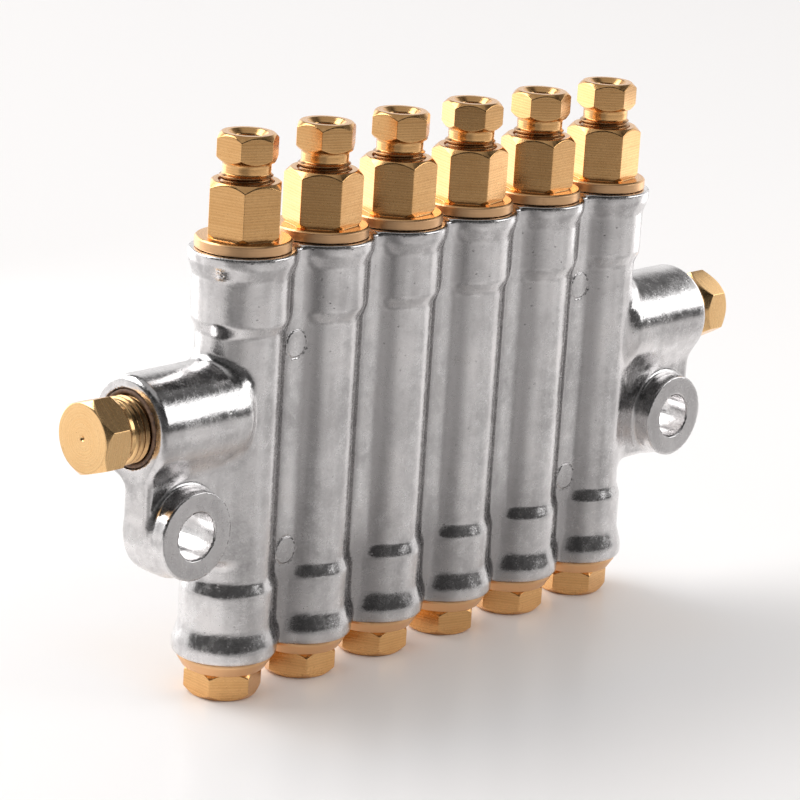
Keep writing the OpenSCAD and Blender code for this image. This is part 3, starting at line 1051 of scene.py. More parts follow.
@dataclass
class GalleryPlug(TurnedPiece):
    """Screw plug in a gallery boss: hexagon with a turned face and centre mark, and its thread."""

    hexagon: Hexagon = Hexagon(10.0, 0.2)
    bored: ClassVar[bool] = False
    hex_l: float = 5.0
    hex_face_r: float = 4.9
    root_r: float = 4.6
    collar_l: float = 3.2
    collar_r: float = 4.5
    collar_rise: float = 0.04
    thread_r: float = 4.88
    thread_depth: float = 0.34
    thread_start: float = -1.6
    thread_gap: float = 1.1
    thread_rows: int = 44
    # How much shade is painted on the plug's thread.
    thread_grime: float = 0.55
    thread_l: float = 7.5
    shank_bevel: float = 0.5
    lead: float = 1.0
    dimple_r: float = 0.42
    tip_r: float = 0.04
    edge: float = 0.14

    def rings(self, foot: float, top: float, side: Array, angles: Array) -> List[Ring]:
        """Rings of the plug along its own axis, whose origin is on the boss's face.

        Args:
            foot: Lowest height of the node, not needed for a lying piece.
            top: Greatest height of the node, not needed either.
            side: Radius of the hexagon at each column.
            angles: Column angles.

        Returns:
            The rings, from the end in the boss to the turned face.
        """
        collar, end = self.collar_l, self.collar_l + self.hex_l
        thread = Thread(self.thread_r, self.thread_depth, self.lead, self.thread_start,
                        collar - self.thread_gap, self.thread_rows, self.thread_grime)
        return [
            Ring(0.5, -self.thread_l), Ring(self.thread_r - self.shank_bevel, -self.thread_l, self.edge),
            Ring(self.thread_r - 0.1, -self.thread_l + self.shank_bevel), *thread.rings(angles),
            Ring(self.collar_r, collar - 0.85, 0.1), Ring(self.collar_r, collar - 0.15, 0.1),
            Ring(self.collar_r + self.collar_rise, collar), Ring(self.root_r, collar, 0.03),
            Ring(side, collar + self.cut_back(side, self.root_r), self.edge),
            Ring(side, end - self.cut_back(side, self.hex_face_r), self.edge),
            Ring(self.hex_face_r, end, 0.16), Ring(self.dimple_r, end, 0.08),
            Ring(self.tip_r, end - self.dimple_r),
        ]

    def origin(self, low: Array, high: Array) -> Sequence[float]:
        """Place of the boss's face on the plug's axis.

        Args:
            low: Lowest corner of the node.
            high: Highest corner of the node.

        Returns:
            The place of the plug's own origin.
        """
        end = self.collar_l + self.hex_l
        face_x = low[0] + end if self.axis is Axis.LEFT else high[0] - end
        centre = (low + high) / 2
        return (face_x, centre[1], centre[2])


def soft_step(a: Band, b: Band, soft: float = 0.3, n: int = 24) -> Array:
    """Points of a straight slope between two (radius, height) points, with parabolic ends.

    Args:
        a: First point.
        b: Last point.
        soft: Share of the height that each end takes.
        n: Number of parts.

    Returns:
        Points from a to b.
    """
    t = np.linspace(0.0, 1.0, n + 1)
    steep = 1.0 / (1.0 - soft)
    ramp = np.where(t < soft, steep * t * t / (2 * soft), steep * (t - soft / 2))
    ramp = np.where(t > 1 - soft, 1.0 - steep * (1 - t) ** 2 / (2 * soft), ramp)
    return np.stack([a[0] + (b[0] - a[0]) * ramp, a[1] + (b[1] - a[1]) * t], axis=1)


def arc(centre: Band, radius: float, start: float, stop: float, n: int = 8) -> Array:
    """Points of a circular arc between two angles in degrees.

    Args:
        centre: Centre of the arc.
        radius: Its radius.
        start: First angle.
        stop: Last angle.
        n: Number of parts.

    Returns:
        Points along the arc.
    """
    a = np.radians(np.linspace(start, stop, n + 1))
    return np.stack([centre[0] + radius * np.cos(a), centre[1] + radius * np.sin(a)], axis=1)


class DistanceTable:
    """Signed distance to a closed outline in the plane, tabled on a fine grid."""

    def __init__(self, outline: Array, low: Band, high: Band, step: float) -> None:
        """Fills the table: distance to the nearest side, negative inside by crossing count.

        Args:
            outline: Corners of the outline.
            low: Lowest corner of the table.
            high: Highest corner of the table.
            step: Spacing of the table.
        """
        self.low, self.step = low, step
        u = np.arange(low[0], high[0] + step, step)[:, None]
        v = np.arange(low[1], high[1] + step, step)[None, :]
        best = np.full((u.size, v.size), np.inf)
        inside = np.zeros(best.shape, bool)
        for (ax, ay), (bx, by) in zip(outline, np.roll(outline, -1, axis=0)):
            ex, ey = bx - ax, by - ay
            along = np.clip(((u - ax) * ex + (v - ay) * ey) / max(ex * ex + ey * ey, 1e-12), 0.0, 1.0)
            best = np.minimum(best, (u - ax - along * ex) ** 2 + (v - ay - along * ey) ** 2)
            if by != ay:
                inside ^= ((v >= min(ay, by)) & (v < max(ay, by))) & (u < ax + (v - ay) * ex / ey)
        self.values = (np.sqrt(best) * np.where(inside, -1.0, 1.0)).astype(np.float32)

    def __call__(self, u: Array, v: Array) -> Array:
        """Distance at (u, v), by linear interpolation between four table points.

        Args:
            u: First coordinate.
            v: Second coordinate.

        Returns:
            Signed distance.
        """
        rows, columns = self.values.shape
        fu = np.clip((u - self.low[0]) / self.step, 0, rows - 1.001)
        fv = np.clip((v - self.low[1]) / self.step, 0, columns - 1.001)
        iu, iv = fu.astype(np.int32), fv.astype(np.int32)
        tu, tv = (fu - iu).astype(np.float32), (fv - iv).astype(np.float32)
        t = self.values
        near = t[iu, iv] * (1 - tv) + t[iu, iv + 1] * tv
        far = t[iu + 1, iv] * (1 - tv) + t[iu + 1, iv + 1] * tv
        return near * (1 - tu) + far * tu


def round_box(offsets: Sequence[Array], radius: float) -> Array:
    """Distance to a box with rounded edges, from the offsets past each pair of its sides.

    Args:
        offsets: Distance past the sides along each axis, negative inside.
        radius: Rounding of the edges.

    Returns:
        Signed distance.
    """
    outside = sum(np.maximum(o + radius, 0.0) ** 2 for o in offsets)
    inside = offsets[0]
    for o in offsets[1:]:
        inside = np.maximum(inside, o)
    return np.sqrt(outside) + np.minimum(inside + radius, 0.0) - radius


@dataclass
class Casting:
    """The die casting: wells, web, gallery bosses, lugs and their holes, blended by fillets."""

    node: str = "casting"
    pitch: float = 15.5
    waist_r: float = 6.3
    low_collar_r: float = 6.9
    top_collar_r: float = 7.05
    foot_r: float = 7.7
    rim_r: float = 7.8
    foot_h: float = 5.2
    foot_flare: float = 0.27
    low_collar_h: float = 7.3
    low_shoulder_h: float = 2.6
    top_collar_h: float = 12.2
    top_shoulder_h: float = 2.5
    rim_flare_h: float = 3.0
    rim_band_h: float = 0.6
    rim_round: float = 0.45
    foot_round: float = 0.8
    web_t: float = 7.6
    gallery_drop: float = 23.2
    gallery_r: float = 2.25
    boss_r: float = 7.6
    boss_root: float = 2.4
    boss_blend: float = 2.0
    boss_round: float = 1.1
    lug_r: float = 6.9
    lug_front: float = 4.7
    lug_back: float = 0.6
    lug_round: float = 0.9
    pad_r: float = 6.5
    hole_r: float = 3.45
    bore_r: float = 4.0
    thread_r: float = 4.96
    ring_r: float = 5.69
    ring_l: float = 0.76
    fitting_thread_l: float = 10.53
    plug_thread_l: float = 9.03
    boss_thread_l: float = 9.0
    mark_r: float = 2.0
    mark_proud: float = 0.1
    mark_low: float = 14.8
    mark_top: float = 14.4
    mark_edge: float = 0.1
    groove_off: float = 0.15
    groove_w: float = 0.13
    groove_share: float = 0.6
    web_inset: float = 0.4
    web_round: float = 0.3
    plate_inset: float = 0.1
    foot_inset: float = 0.2
    plate_fillet: float = 0.5
    pad_root: float = 1.0
    pad_round: float = 0.28
    plane_inset: float = 0.01
    plane_edge: float = 0.12
    hole_edge: float = 0.24
    well_fillet: float = 0.8
    web_fillet: float = 1.2
    boss_fillet: float = 1.8
    lug_fillet: float = 1.6
    pad_fillet: float = 1.0
    waviness: float = 0.006
    cell: float = 0.33
    most_triangles: int = 185000
    far_off: float = 50.0
    inner_off: float = 20.0
    probe: float = 1.0
    # Where shade is painted beside the wells: turn from the front, reach into the web, height where it
    # deepens, ends of the row.
    flank_turn: Band = (22.0, 48.0)
    flank_web: Band = (7.2, 5.6)
    flank_low: Band = (22.0, 10.0)
    flank_ends: Band = (1.0, -2.0)
    flank_share: float = 0.7
    flank_low_share: float = 0.1
    faced_band: Band = (0.12, 0.02)

    def __post_init__(self) -> None:
        """Takes the casting's place from the frame and tables the wells' outline."""
        low, high = node_box(self.node)
        self.z_low, self.z_top = low[2], high[2]
        self.boss_x = high[0]
        centres = [node_box(name) for name in well_nodes("outlet_fitting")]
        self.well_x = np.array([(a[0] + b[0]) / 2 for a, b in centres])
        self.end_x = self.well_x.max()
        record_mounts = {mount["name"]: mount for mount in frame["record"]["mounts"]}
        holes = record_mounts["lug_holes"]
        self.lug_x = holes["dims"]["spacing_x_mm"] / 2
        self.lug_z = holes["pos_m"][2] / MM
        self.gallery_z = self.z_top - self.gallery_drop
        self.pad_y = low[1]
        self.back_y = high[1]
        self.height = self.z_top - self.z_low
        self.well = DistanceTable(self.well_outline(), (0.0, -4.0), (18.0, self.height + 4.0), 0.05)
        length = self.boss_x - self.end_x - self.boss_root
        self.boss = DistanceTable(self.boss_outline(length), (0.0, -length - 12.0), (40.0, 4.0), 0.06)

    def well_outline(self) -> Array:
        """Half section of one well from its foot to its rim.

        Returns:
            Corners of the section, in (radius, height).
        """
        top = self.height
        shoulder = self.foot_h + self.low_collar_h
        flare = top - self.rim_band_h - self.rim_round
        return np.concatenate([
            [[-self.inner_off, 0.0]],
            arc((self.foot_r - self.foot_round, self.foot_round), self.foot_round, -90, 0),
            soft_step((self.foot_r, self.foot_flare * self.foot_h), (self.low_collar_r, self.foot_h)),
            soft_step((self.low_collar_r, shoulder - self.low_shoulder_h), (self.waist_r, shoulder)),
            soft_step((self.waist_r, top - self.top_collar_h),
                      (self.top_collar_r, top - self.top_collar_h + self.top_shoulder_h)),
            soft_step((self.top_collar_r, flare - self.rim_flare_h), (self.rim_r, flare)),
            arc((self.rim_r - self.rim_round, top - self.rim_round), self.rim_round, 0, 90),
            [[-self.inner_off, top]],
        ])

    def boss_outline(self, length: float) -> Array:
        """Half section of a gallery boss behind its face, in (radius, distance).

        Args:
            length: From the rounded inner end to the face.

        Returns:
            Corners of the section.
        """
        inner = self.boss_r - self.boss_blend
        outer = self.boss_r - self.boss_round
        return np.concatenate([
            [[-self.inner_off, -length]],
            arc((inner, self.boss_blend - length), self.boss_blend, -90, 0),
            arc((outer, -self.boss_round), self.boss_round, 0, 90),
            [[-self.inner_off, 0.0]],
        ])

    def _nearest(self, x: Array) -> Tuple[Array, Array]:
        """Number of the well nearest to x, and the offset of x from its axis."""
        number = np.clip(np.rint((x + self.end_x) / self.pitch), 0, len(self.well_x) - 1)
        return number, x - (number * self.pitch - self.end_x)

    def _wells(self, x: Array, y: Array, h: Array) -> Array:
        """Distance to the nearest two wells, joined.

        Args:
            x: Along the row.
            y: Across the row.
            h: Height above the wells' feet.

        Returns:
            Signed distance.
        """
        number, off = self._nearest(x)
        side = np.where(off >= 0, 1.0, -1.0)
        outside = (number + side < 0) | (number + side > len(self.well_x) - 1)
        near = self.well(np.hypot(off, y), h)
        far = self.well(np.hypot(off - side * self.pitch, y), h) + np.where(outside, self.far_off, 0.0)
        return blend_min(near, far, self.well_fillet)

    def _lug(self, ax: Array, y: Array, z: Array) -> Array:
        """Distance to a lug: a round end and its plate up to the boss and in to the well.

        Args:
            ax: Along the row, from its middle.
            y: Across the row.
            z: Upwards.

        Returns:
            Signed distance.
        """
        end = np.hypot(ax - self.lug_x, z - self.lug_z) - self.lug_r
        outer = self.lug_x + self.lug_r - self.plate_inset
        mid_x, half_x = (outer + self.end_x) / 2, (outer - self.end_x) / 2
        mid_z, half_z = (self.lug_z + self.gallery_z) / 2, (self.gallery_z - self.lug_z) / 2
        plate = round_box((np.abs(ax - mid_x) - half_x, np.abs(z - mid_z) - half_z), 0.0)
        low_x, low_half = (self.lug_x + self.end_x) / 2, (self.lug_x - self.end_x) / 2
        past_foot = np.abs(z - self.lug_z) - self.lug_r + self.foot_inset
        foot = round_box((np.abs(ax - low_x) - low_half, past_foot), 0.0)
        outline = blend_min(blend_min(end, plate, self.plate_fillet), foot, self.plate_fillet)
        mid_y, half_y = (self.lug_back - self.lug_front) / 2, (self.lug_back + self.lug_front) / 2
        return round_box((outline, np.abs(y - mid_y) - half_y), self.lug_round)

    def _cuts(self, x: Array, ax: Array, y: Array, z: Array, h: Array) -> Array:
        """Distance to the holes: well bores and threads, gallery, boss threads and lug holes.

        Args:
            x: Along the row.
            ax: Along the row, from its middle.
            y: Across the row.
            z: Upwards.
            h: Height above the wells' feet.

        Returns:
            Signed distance, negative in a hole.
        """
        r = np.hypot(self._nearest(x)[1], y)
        cut = r - self.bore_r
        for inward, thread_l in ((self.height - h, self.fitting_thread_l), (h, self.plug_thread_l)):
            for radius, depth in ((self.thread_r, thread_l), (self.ring_r, self.ring_l)):
                cut = np.minimum(cut, np.maximum(r - radius, inward - depth))
        g = np.hypot(y, z - self.gallery_z)
        cut = np.minimum(cut, g - self.gallery_r)
        for radius, depth in ((self.thread_r, self.boss_thread_l), (self.ring_r, self.ring_l)):
            cut = np.minimum(cut, np.maximum(g - radius, self.boss_x - depth - ax))
        return np.minimum(cut, np.hypot(ax - self.lug_x, z - self.lug_z) - self.hole_r)

    def _web(self, ax: Array, y: Array, h: Array) -> Array:
        """Distance to the web, with raised ejector marks and a groove round each on its front.

        Args:
            ax: Along the row, from its middle.
            y: Across the row.
            h: Height above the wells' feet.

        Returns:
            Signed distance.
        """
        mid = self.height / 2
        past_end = np.abs(h - mid) - mid + self.web_inset
        web = round_box((ax - self.end_x, np.abs(y) - self.web_t / 2, past_end), self.web_round)
        for mark in (self.mark_low, self.height - self.mark_top):
            from_mark = np.hypot(ax - (self.end_x - self.pitch / 2), h - mark)
            ring = smooth_step(self.mark_r + self.mark_edge, self.mark_r - self.mark_edge, from_mark)
            groove = np.exp(-((from_mark - self.mark_r - self.groove_off) / self.groove_w) ** 2)
            web = web - np.where(y < 0, self.mark_proud, 0.0) * (ring - self.groove_share * groove)
        return web

    def _pad(self, ax: Array, y: Array, z: Array) -> Array:
        """Distance to a lug's round pad.

        Args:
            ax: Along the row, from its middle.
            y: Across the row.
            z: Upwards.

        Returns:
            Signed distance.
        """
        middle, half = (self.pad_y - self.pad_root) / 2, (-self.pad_y - self.pad_root) / 2
        reach = np.hypot(ax - self.lug_x, z - self.lug_z) - self.pad_r
        return round_box((reach, np.abs(y - middle) - half), self.pad_round)

    def distance(self, x: Array, y: Array, z: Array) -> Array:
        """Signed distance to the casting's skin.

        Wells, web, bosses, lugs and pads are joined by filleted unions, a few long waves lift the
        skin, the ends are cut level and the holes are cut out.

        Args:
            x: Along the row.
            y: Across the row.
            z: Upwards.

        Returns:
            Distance in millimetres, negative in the metal.
        """
        ax, h = np.abs(x), z - self.z_low
        body = blend_min(self._wells(x, y, h), self._web(ax, y, h), self.web_fillet)
        boss = self.boss(np.hypot(y, z - self.gallery_z), ax - self.boss_x)
        body = blend_min(body, boss, self.boss_fillet)
        body = blend_min(body, self._lug(ax, y, z), self.lug_fillet)
        body = blend_min(body, self._pad(ax, y, z), self.pad_fillet)
        wave = np.sin(0.9 * x + 1.7 * np.sin(0.31 * z)) * np.sin(1.1 * y + 0.53 * z + 0.4 * x)
        body = body + self.waviness * wave
        for plane in (z - self.z_top, self.z_low - z, ax - self.boss_x, self.pad_y - y, y - self.back_y):
            body = blend_max(body, plane + self.plane_inset, self.plane_edge)
        return blend_max(body, -self._cuts(x, ax, y, z, h), self.hole_edge)

    def gradient(self, points: Array, step: float = 0.02) -> Array:
        """Slope of the distance, by central differences.

        Args:
            points: Where it is taken.
            step: Half the distance between the two samples.

        Returns:
            Slope along the three axes at each point.
        """
        parts = []
        for axis in np.eye(3) * step:
            ahead, behind = (points + axis).T, (points - axis).T
            parts.append((self.distance(*ahead) - self.distance(*behind)) / (2 * step))
        return np.stack(parts, axis=1)

    def skin(self) -> Surface:
        """Meshes the zero level of the distance by surface nets, then draws it onto the level.

        Each grid cell that the level crosses gets one vertex, at the mean of its edge crossings,
        and each crossed grid edge gets one quad between the four cells around it.

        Returns:
            The skin without normals.
        """
        c = self.cell
        xs = np.arange(-self.boss_x - 2 * c, self.boss_x + 3 * c, c)
        ys = np.arange(self.pad_y - 2 * c, -self.pad_y + 3 * c, c)
        zs = np.arange(self.z_low - 2 * c, self.z_top + 3 * c, c)
        values = self.distance(xs[:, None, None], ys[None, :, None], zs[None, None, :]).astype(np.float32)
        solid = values < 0
        shape = np.array(values.shape) - 1
        corners = np.array([[i, j, k] for i in (0, 1) for j in (0, 1) for k in (0, 1)])
        around = [tuple(slice(low, low + size) for low, size in zip(corner, shape)) for corner in corners]
        count = sum(solid[block].astype(np.int8) for block in around)
        cells = np.argwhere((count > 0) & (count < len(corners)))
        number = np.full(shape, -1, np.int64)
        number[tuple(cells.T)] = np.arange(len(cells))
        corner_value = values[tuple((cells[:, None, :] + corners[None]).transpose(2, 0, 1))]
        total, hits = np.zeros((len(cells), 3)), np.zeros((len(cells), 1))
        for a in range(len(corners)):
            for b in range(a + 1, len(corners)):
                if np.abs(corners[a] - corners[b]).sum() != 1:
                    continue
                va, vb = corner_value[:, a], corner_value[:, b]
                crossed = (va < 0) != (vb < 0)
                t = np.where(crossed, va / np.where(crossed, va - vb, 1.0), 0.0)[:, None]
                total += np.where(crossed[:, None], corners[a] + t * (corners[b] - corners[a]), 0.0)
                hits += crossed[:, None]
        points = (cells + total / hits) * c + np.array([xs[0], ys[0], zs[0]])
        quads = []
        for axis in range(3):
            ahead = [slice(None)] * 3
            ahead[axis] = slice(1, None)
            behind = [slice(None)] * 3
            behind[axis] = slice(None, -1)
            edges = np.argwhere(solid[tuple(behind)] != solid[tuple(ahead)])
            u, v = [np.eye(3, dtype=int)[k] for k in ((axis + 1) % 3, (axis + 2) % 3)]
            around = np.stack([number[tuple((edges + o).T)] for o in (-u - v, -v, 0 * u, -u)], axis=1)
            inward = solid[tuple(edges.T)]
            quads.append(np.where(inward[:, None], around, around[:, ::-1]))
        return Surface(points, np.concatenate(quads))

    def settled(self, points: Array, rounds: int = 3) -> Array:
        """Moves points onto the zero level along the slope.

        Args:
            points: Points near the level.
            rounds: How often they are moved.

        Returns:
            The moved points.
        """
        for _ in range(rounds):
            slope = self.gradient(points)
            size = np.maximum((slope ** 2).sum(1, keepdims=True), 0.05)
            move = self.distance(*points.T)[:, None] * slope / size
            points = points - np.clip(move, -0.2, 0.2)
        return points

    def thinned(self, surface: Surface) -> Surface:
        """Joins edges where the skin is plain, until it is within the triangle limit.

        Args:
            surface: The skin.

        Returns:
            The thinned skin, in triangles.
        """
        rough = surface.to_object("casting_raw")
        share = self.most_triangles / (2.0 * len(surface.quads))
        if share < 1.0:
            modifier = rough.modifiers.new("thin", "DECIMATE")
            modifier.ratio = share
        mesh = rough.evaluated_get(bpy.context.evaluated_depsgraph_get()).to_mesh()
        mesh.calc_loop_triangles()
        points = np.empty(len(mesh.vertices) * 3, np.float32)
        mesh.vertices.foreach_get("co", points)
        tris = np.empty(len(mesh.loop_triangles) * 3, np.int32)
        mesh.loop_triangles.foreach_get("vertices", tris)
        made = Surface(points.reshape(-1, 3).astype(float) / MM, np.zeros((0, 4), int), tris.reshape(-1, 3))
        bpy.data.objects.remove(rough)
        return made

    def _flank(self, points: Array) -> Array:
        """Where shade is painted beside the wells, deeper low down.

        Args:
            points: Points of the skin.

        Returns:
            1 on the wells' flanks, and 0 on their crests, amid the web and past the row.
        """
        x, y, h = points[:, 0], np.abs(points[:, 1]), points[:, 2] - self.z_low
        off = np.abs(self._nearest(x)[1])
        turn = np.degrees(np.arctan2(off, y))
        row = smooth_step(self.end_x + self.flank_ends[0], self.end_x + self.flank_ends[1], np.abs(x))
        low = smooth_step(*self.flank_low, h)
        web = np.maximum(smooth_step(*self.flank_web, off), low)
        share = self.flank_share + self.flank_low_share * low
        return smooth_step(*self.flank_turn, turn) * web * share * row

    def _faced(self, points: Array) -> Array:
        """Where the casting is machined: 1 on the front planes of the two pads, 0 elsewhere; their darker
        grey is partly painted shade.
        """
        reach = np.hypot(np.abs(points[:, 0]) - self.lug_x, points[:, 2] - self.lug_z)
        return smooth_step(*self.faced_band, points[:, 1] - self.pad_y) * (reach < self.pad_r)

    def build(self, material: bpy.types.Material) -> bpy.types.Object:
        """Makes the casting with values for hollows, edges, painted shade beside the wells and machined
        pads.

        Args:
            material: Cast finish.

        Returns:
            The piece.
        """
        surface = self.skin()
        surface.points = self.settled(surface.points)
        surface = self.thinned(surface)
        slope = self.gradient(surface.points)
        normals = slope / np.maximum(np.linalg.norm(slope, axis=1, keepdims=True), 1e-9)
        surface.normals = normals
        outside = self.distance(*(surface.points + self.probe * normals).T) / self.probe
        inside = self.distance(*(surface.points - self.probe * normals).T) / self.probe
        surface.attributes = {
            # Concave places: painted shade goes there and the bump is smoothed.
            "cavity": np.clip(1.0 - outside, 0.0, 1.0),
            # Convex edges, which get a painted highlight.
            "edge": np.clip(1.0 + inside, 0.0, 1.0),
            # Painted shade beside the wells.
            "flank": self._flank(surface.points),
            # Machined pad faces, whose darker grey is partly painted shade.
            "faced": self._faced(surface.points),
        }
        return dressed(surface, "casting_skin", self.node, material)


@dataclass
class Brassware:
    """All the turned brass pieces that show, with the turn of each hexagon as it was tightened."""

    fitting_turn: Tuple[float, ...] = (45, 12, 7, 13, 5, 11)
    nut_turn: Tuple[float, ...] = (35, 38, 37, 7, 22, 16)
    plug_turn: Tuple[float, ...] = (27, 58, 58, 42, 3, 13)
    left_turn: float = 49.0
    right_turn: float = 0.0

    def build(self, material: bpy.types.Material, faced: bpy.types.Material) -> List[bpy.types.Object]:
        """Makes every fitting, nut and plug.

        Args:
            material: Brass finish.
            faced: Paler brass finish of the gallery plugs.

        Returns:
            The pieces.
        """
        pieces: List[bpy.types.Object] = []
        rows = (
            (OutletFitting, "outlet_fitting", self.fitting_turn),
            (CompressionNut, "compression_nut", self.nut_turn),
            (BottomPlug, "bottom_plug", self.plug_turn),
        )
        for kind, stem, turns in rows:
            for node, turn in zip(well_nodes(stem), turns):
                pieces.append(kind(node, turn).build(material))
        # The gallery plugs take the paler brass copy, painted light.
        pieces.append(GalleryPlug("left_gallery_plug", self.left_turn, Axis.LEFT).build(faced))
        pieces.append(GalleryPlug("right_gallery_plug", self.right_turn, Axis.RIGHT).build(faced))
        return pieces


@dataclass
class ReturnSpring:
    """Return spring under one piston, which squeezes it as it comes down; here a round wire along a helix
    as long as its node.
    """

    node: str
    joint: str
    fixed_z: float
    stroke: float
    wire_r: float = 0.3
    turns: int = 9
    steps: int = 28
    sides: int = 10

    @classmethod
    def row(cls) -> List["ReturnSpring"]:
        """The springs that the record says are squeezed.

        Returns:
            One spring for each of them, with the joint that squeezes it.
        """
        springs = []
        for joint in frame["record"]["behaviour"]["joints"]:
            stroke = max(joint["range_m"]) / MM
            for squeezed in joint.get("deforming_nodes", []):
                fixed_z = squeezed["fixed_end_z_m"] / MM
                springs.append(cls(squeezed["node"], joint["name"], fixed_z, stroke))
        return springs

    def surface(self) -> Surface:
        """The wire's skin.

        At turn a the wire's centre is on the helix, and the skin is a circle around it, spanned by the
        outward direction and the direction across the wire. A point amid each end closes it.

        Returns:
            The skin, closed at both ends.
        """
        low, high = node_box(self.node)
        centre = (low + high) / 2
        reach = (high[0] - low[0]) / 2 - self.wire_r
        rise = high[2] - low[2] - 2 * self.wire_r
        share = np.linspace(0.0, 1.0, self.turns * self.steps + 1)[:, None]
        a = 2 * np.pi * self.turns * share
        b = np.linspace(0.0, 2 * np.pi, self.sides, endpoint=False)[None, :]
        lead = math.atan(rise / (2 * math.pi * reach * self.turns))
        out, up = self.wire_r * np.cos(b), self.wire_r * np.sin(b)
        x = centre[0] + (reach + out) * np.cos(a) + up * math.sin(lead) * np.sin(a)
        y = centre[1] + (reach + out) * np.sin(a) - up * math.sin(lead) * np.cos(a)
        z = low[2] + self.wire_r + rise * share + up * math.cos(lead)
        rings = np.stack([x, y, z], axis=2)
        rows, columns = rings.shape[:2]
        ends = rings[[0, -1]].mean(axis=1)
        number = np.arange(rows * columns).reshape(rows, columns)
        after = np.roll(number, -1, axis=1)
        quads = np.stack([number[:-1], number[1:], after[1:], after[:-1]], axis=2).reshape(-1, 4)
        first = np.stack([np.full(columns, rows * columns), number[0], after[0]], axis=1)
        last = np.stack([np.full(columns, rows * columns + 1), after[-1], number[-1]], axis=1)
        return Surface(np.concatenate([rings.reshape(-1, 3), ends]), quads, np.concatenate([first, last]))

    def build(self, material: bpy.types.Material) -> bpy.types.Object:
        """Makes the spring where its node is and gives it a mesh of its own.

        Args:
            material: Steel finish.

        Returns:
            The piece.
        """
        low, high = node_box(self.node)
        piece = dressed(self.surface(), f"{self.node}_coil", self.node, material)
        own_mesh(piece)
        return piece


@dataclass
class InnerParts:
    """The CAD pieces inside the wells, which keep their own meshes."""

    brass: Tuple[str, ...] = ("valve_cage", "tube_sleeves")
    steel: Tuple[str, ...] = ("metering_piston", "return_spring")

    def dress(self, finishes: Finishes) -> None:
        """Gives each CAD node a finish; a node that another piece stands for doesn't show.

        Args:
            finishes: The block's materials.
        """
        for name, node in frame["nodes"].items():
            if name.startswith(self.brass):
                material = finishes.plain_brass
            elif name.startswith(self.steel):
                material = finishes.steel
            else:
                material = finishes.rubber
            node.data.materials.clear()
            node.data.materials.append(material)


@dataclass(frozen=True)
class FloorFinish:
    """Pale floor with a painted warm glow of light bounced from the brass under the plugs.

    Metals see it darker before the block, at a spot that the lug sides mirror, and far away: painted shade
    that only reflections show.

    Bands are in metres, from where a shade starts to where it is full. mirror_slope tells which spot of
    the floor a flat front face mirrors: the one at x, y shows at x + mirror_slope * y along the row.
    """

    name: str = "pale_floor"
    colour: Triple = (0.885, 0.868, 0.862)
    glow: Triple = (0.9, 0.8, 0.72)
    glow_share: float = 0.4
    glow_before_square: Band = (0.0014, 0.00005)
    glow_along_square: Band = (0.0028, 0.0013)
    near_band: Band = (0.02, 0.07)
    near_share: float = 0.2
    right_start: Band = (0.02, 0.08)
    right_end: Band = (0.14, 0.17)
    right_share: float = 0.24
    left_end: Band = (0.0, 0.08)
    left_share: float = 0.4
    lug_start: Band = (-0.175, -0.15)
    lug_end: Band = (-0.1, -0.08)
    lug_before: Band = (-0.04, -0.02)
    lug_share: float = 0.32
    mirror_slope: float = 1.092
    mirror_end: Band = (0.076, 0.082)
    far_band: Band = (0.36, 0.62)
    far_before: Band = (0.05, 0.2)
    far_share: float = 0.75
    rough: float = 0.35
    specular: float = 0.2

    def build(self, side: Vector) -> bpy.types.Material:
        """Makes the material.

        Args:
            side: Level direction to the right of the picture.

        Returns:
            The finished material.
        """
        material, g = new_material(self.name)
        place = g.value("ShaderNodeTexCoord", None, None, "Object")
        glossy = g.value("ShaderNodeLightPath", None, None, "Is Glossy Ray")
        away = g.value("ShaderNodeVectorMath", {"operation": "LENGTH"}, {0: place}, "Value")
        before = g.dot(place, (0.0, -1.0, 0.0))
        along = g.dot(place, (1.0, 0.0, 0.0))
        across = g.dot(place, side)
        mirrored = g.dot(place, (1.0, self.mirror_slope, 0.0))
        right = along.eased(*self.right_start) * (1.0 - before.eased(*self.right_end))
        left = 1.0 - across.eased(*self.left_end)
        lug = across.eased(*self.lug_start) * (1.0 - across.eased(*self.lug_end))
        lug = lug * (1.0 - before.eased(*self.lug_before))
        depth = self.near_share + right * self.right_share + left * self.left_share
        depth = depth * (1.0 - mirrored.eased(*self.mirror_end))
        shade = before.eased(*self.near_band) * depth + lug * self.lug_share
        far = away.eased(*self.far_band) * before.eased(*self.far_before) * self.far_share
        seen = (1.0 - shade) * (1.0 - far)
        # Painted warm light on the floor in front of the plugs, bounced from the brass.
        under_front = (before * before).eased(*self.glow_before_square)
        glow = under_front * (along * along).eased(*self.glow_along_square)
        colour = g.mix(glow * self.glow_share, self.colour, self.glow)
        # Painted shade that only reflections show.
        colour = g.mix((1.0 - seen) * glossy, colour, BLACK)
        g.surface({"Roughness": self.rough, "Specular IOR Level": self.specular}, {"Base Color": colour})
        return material


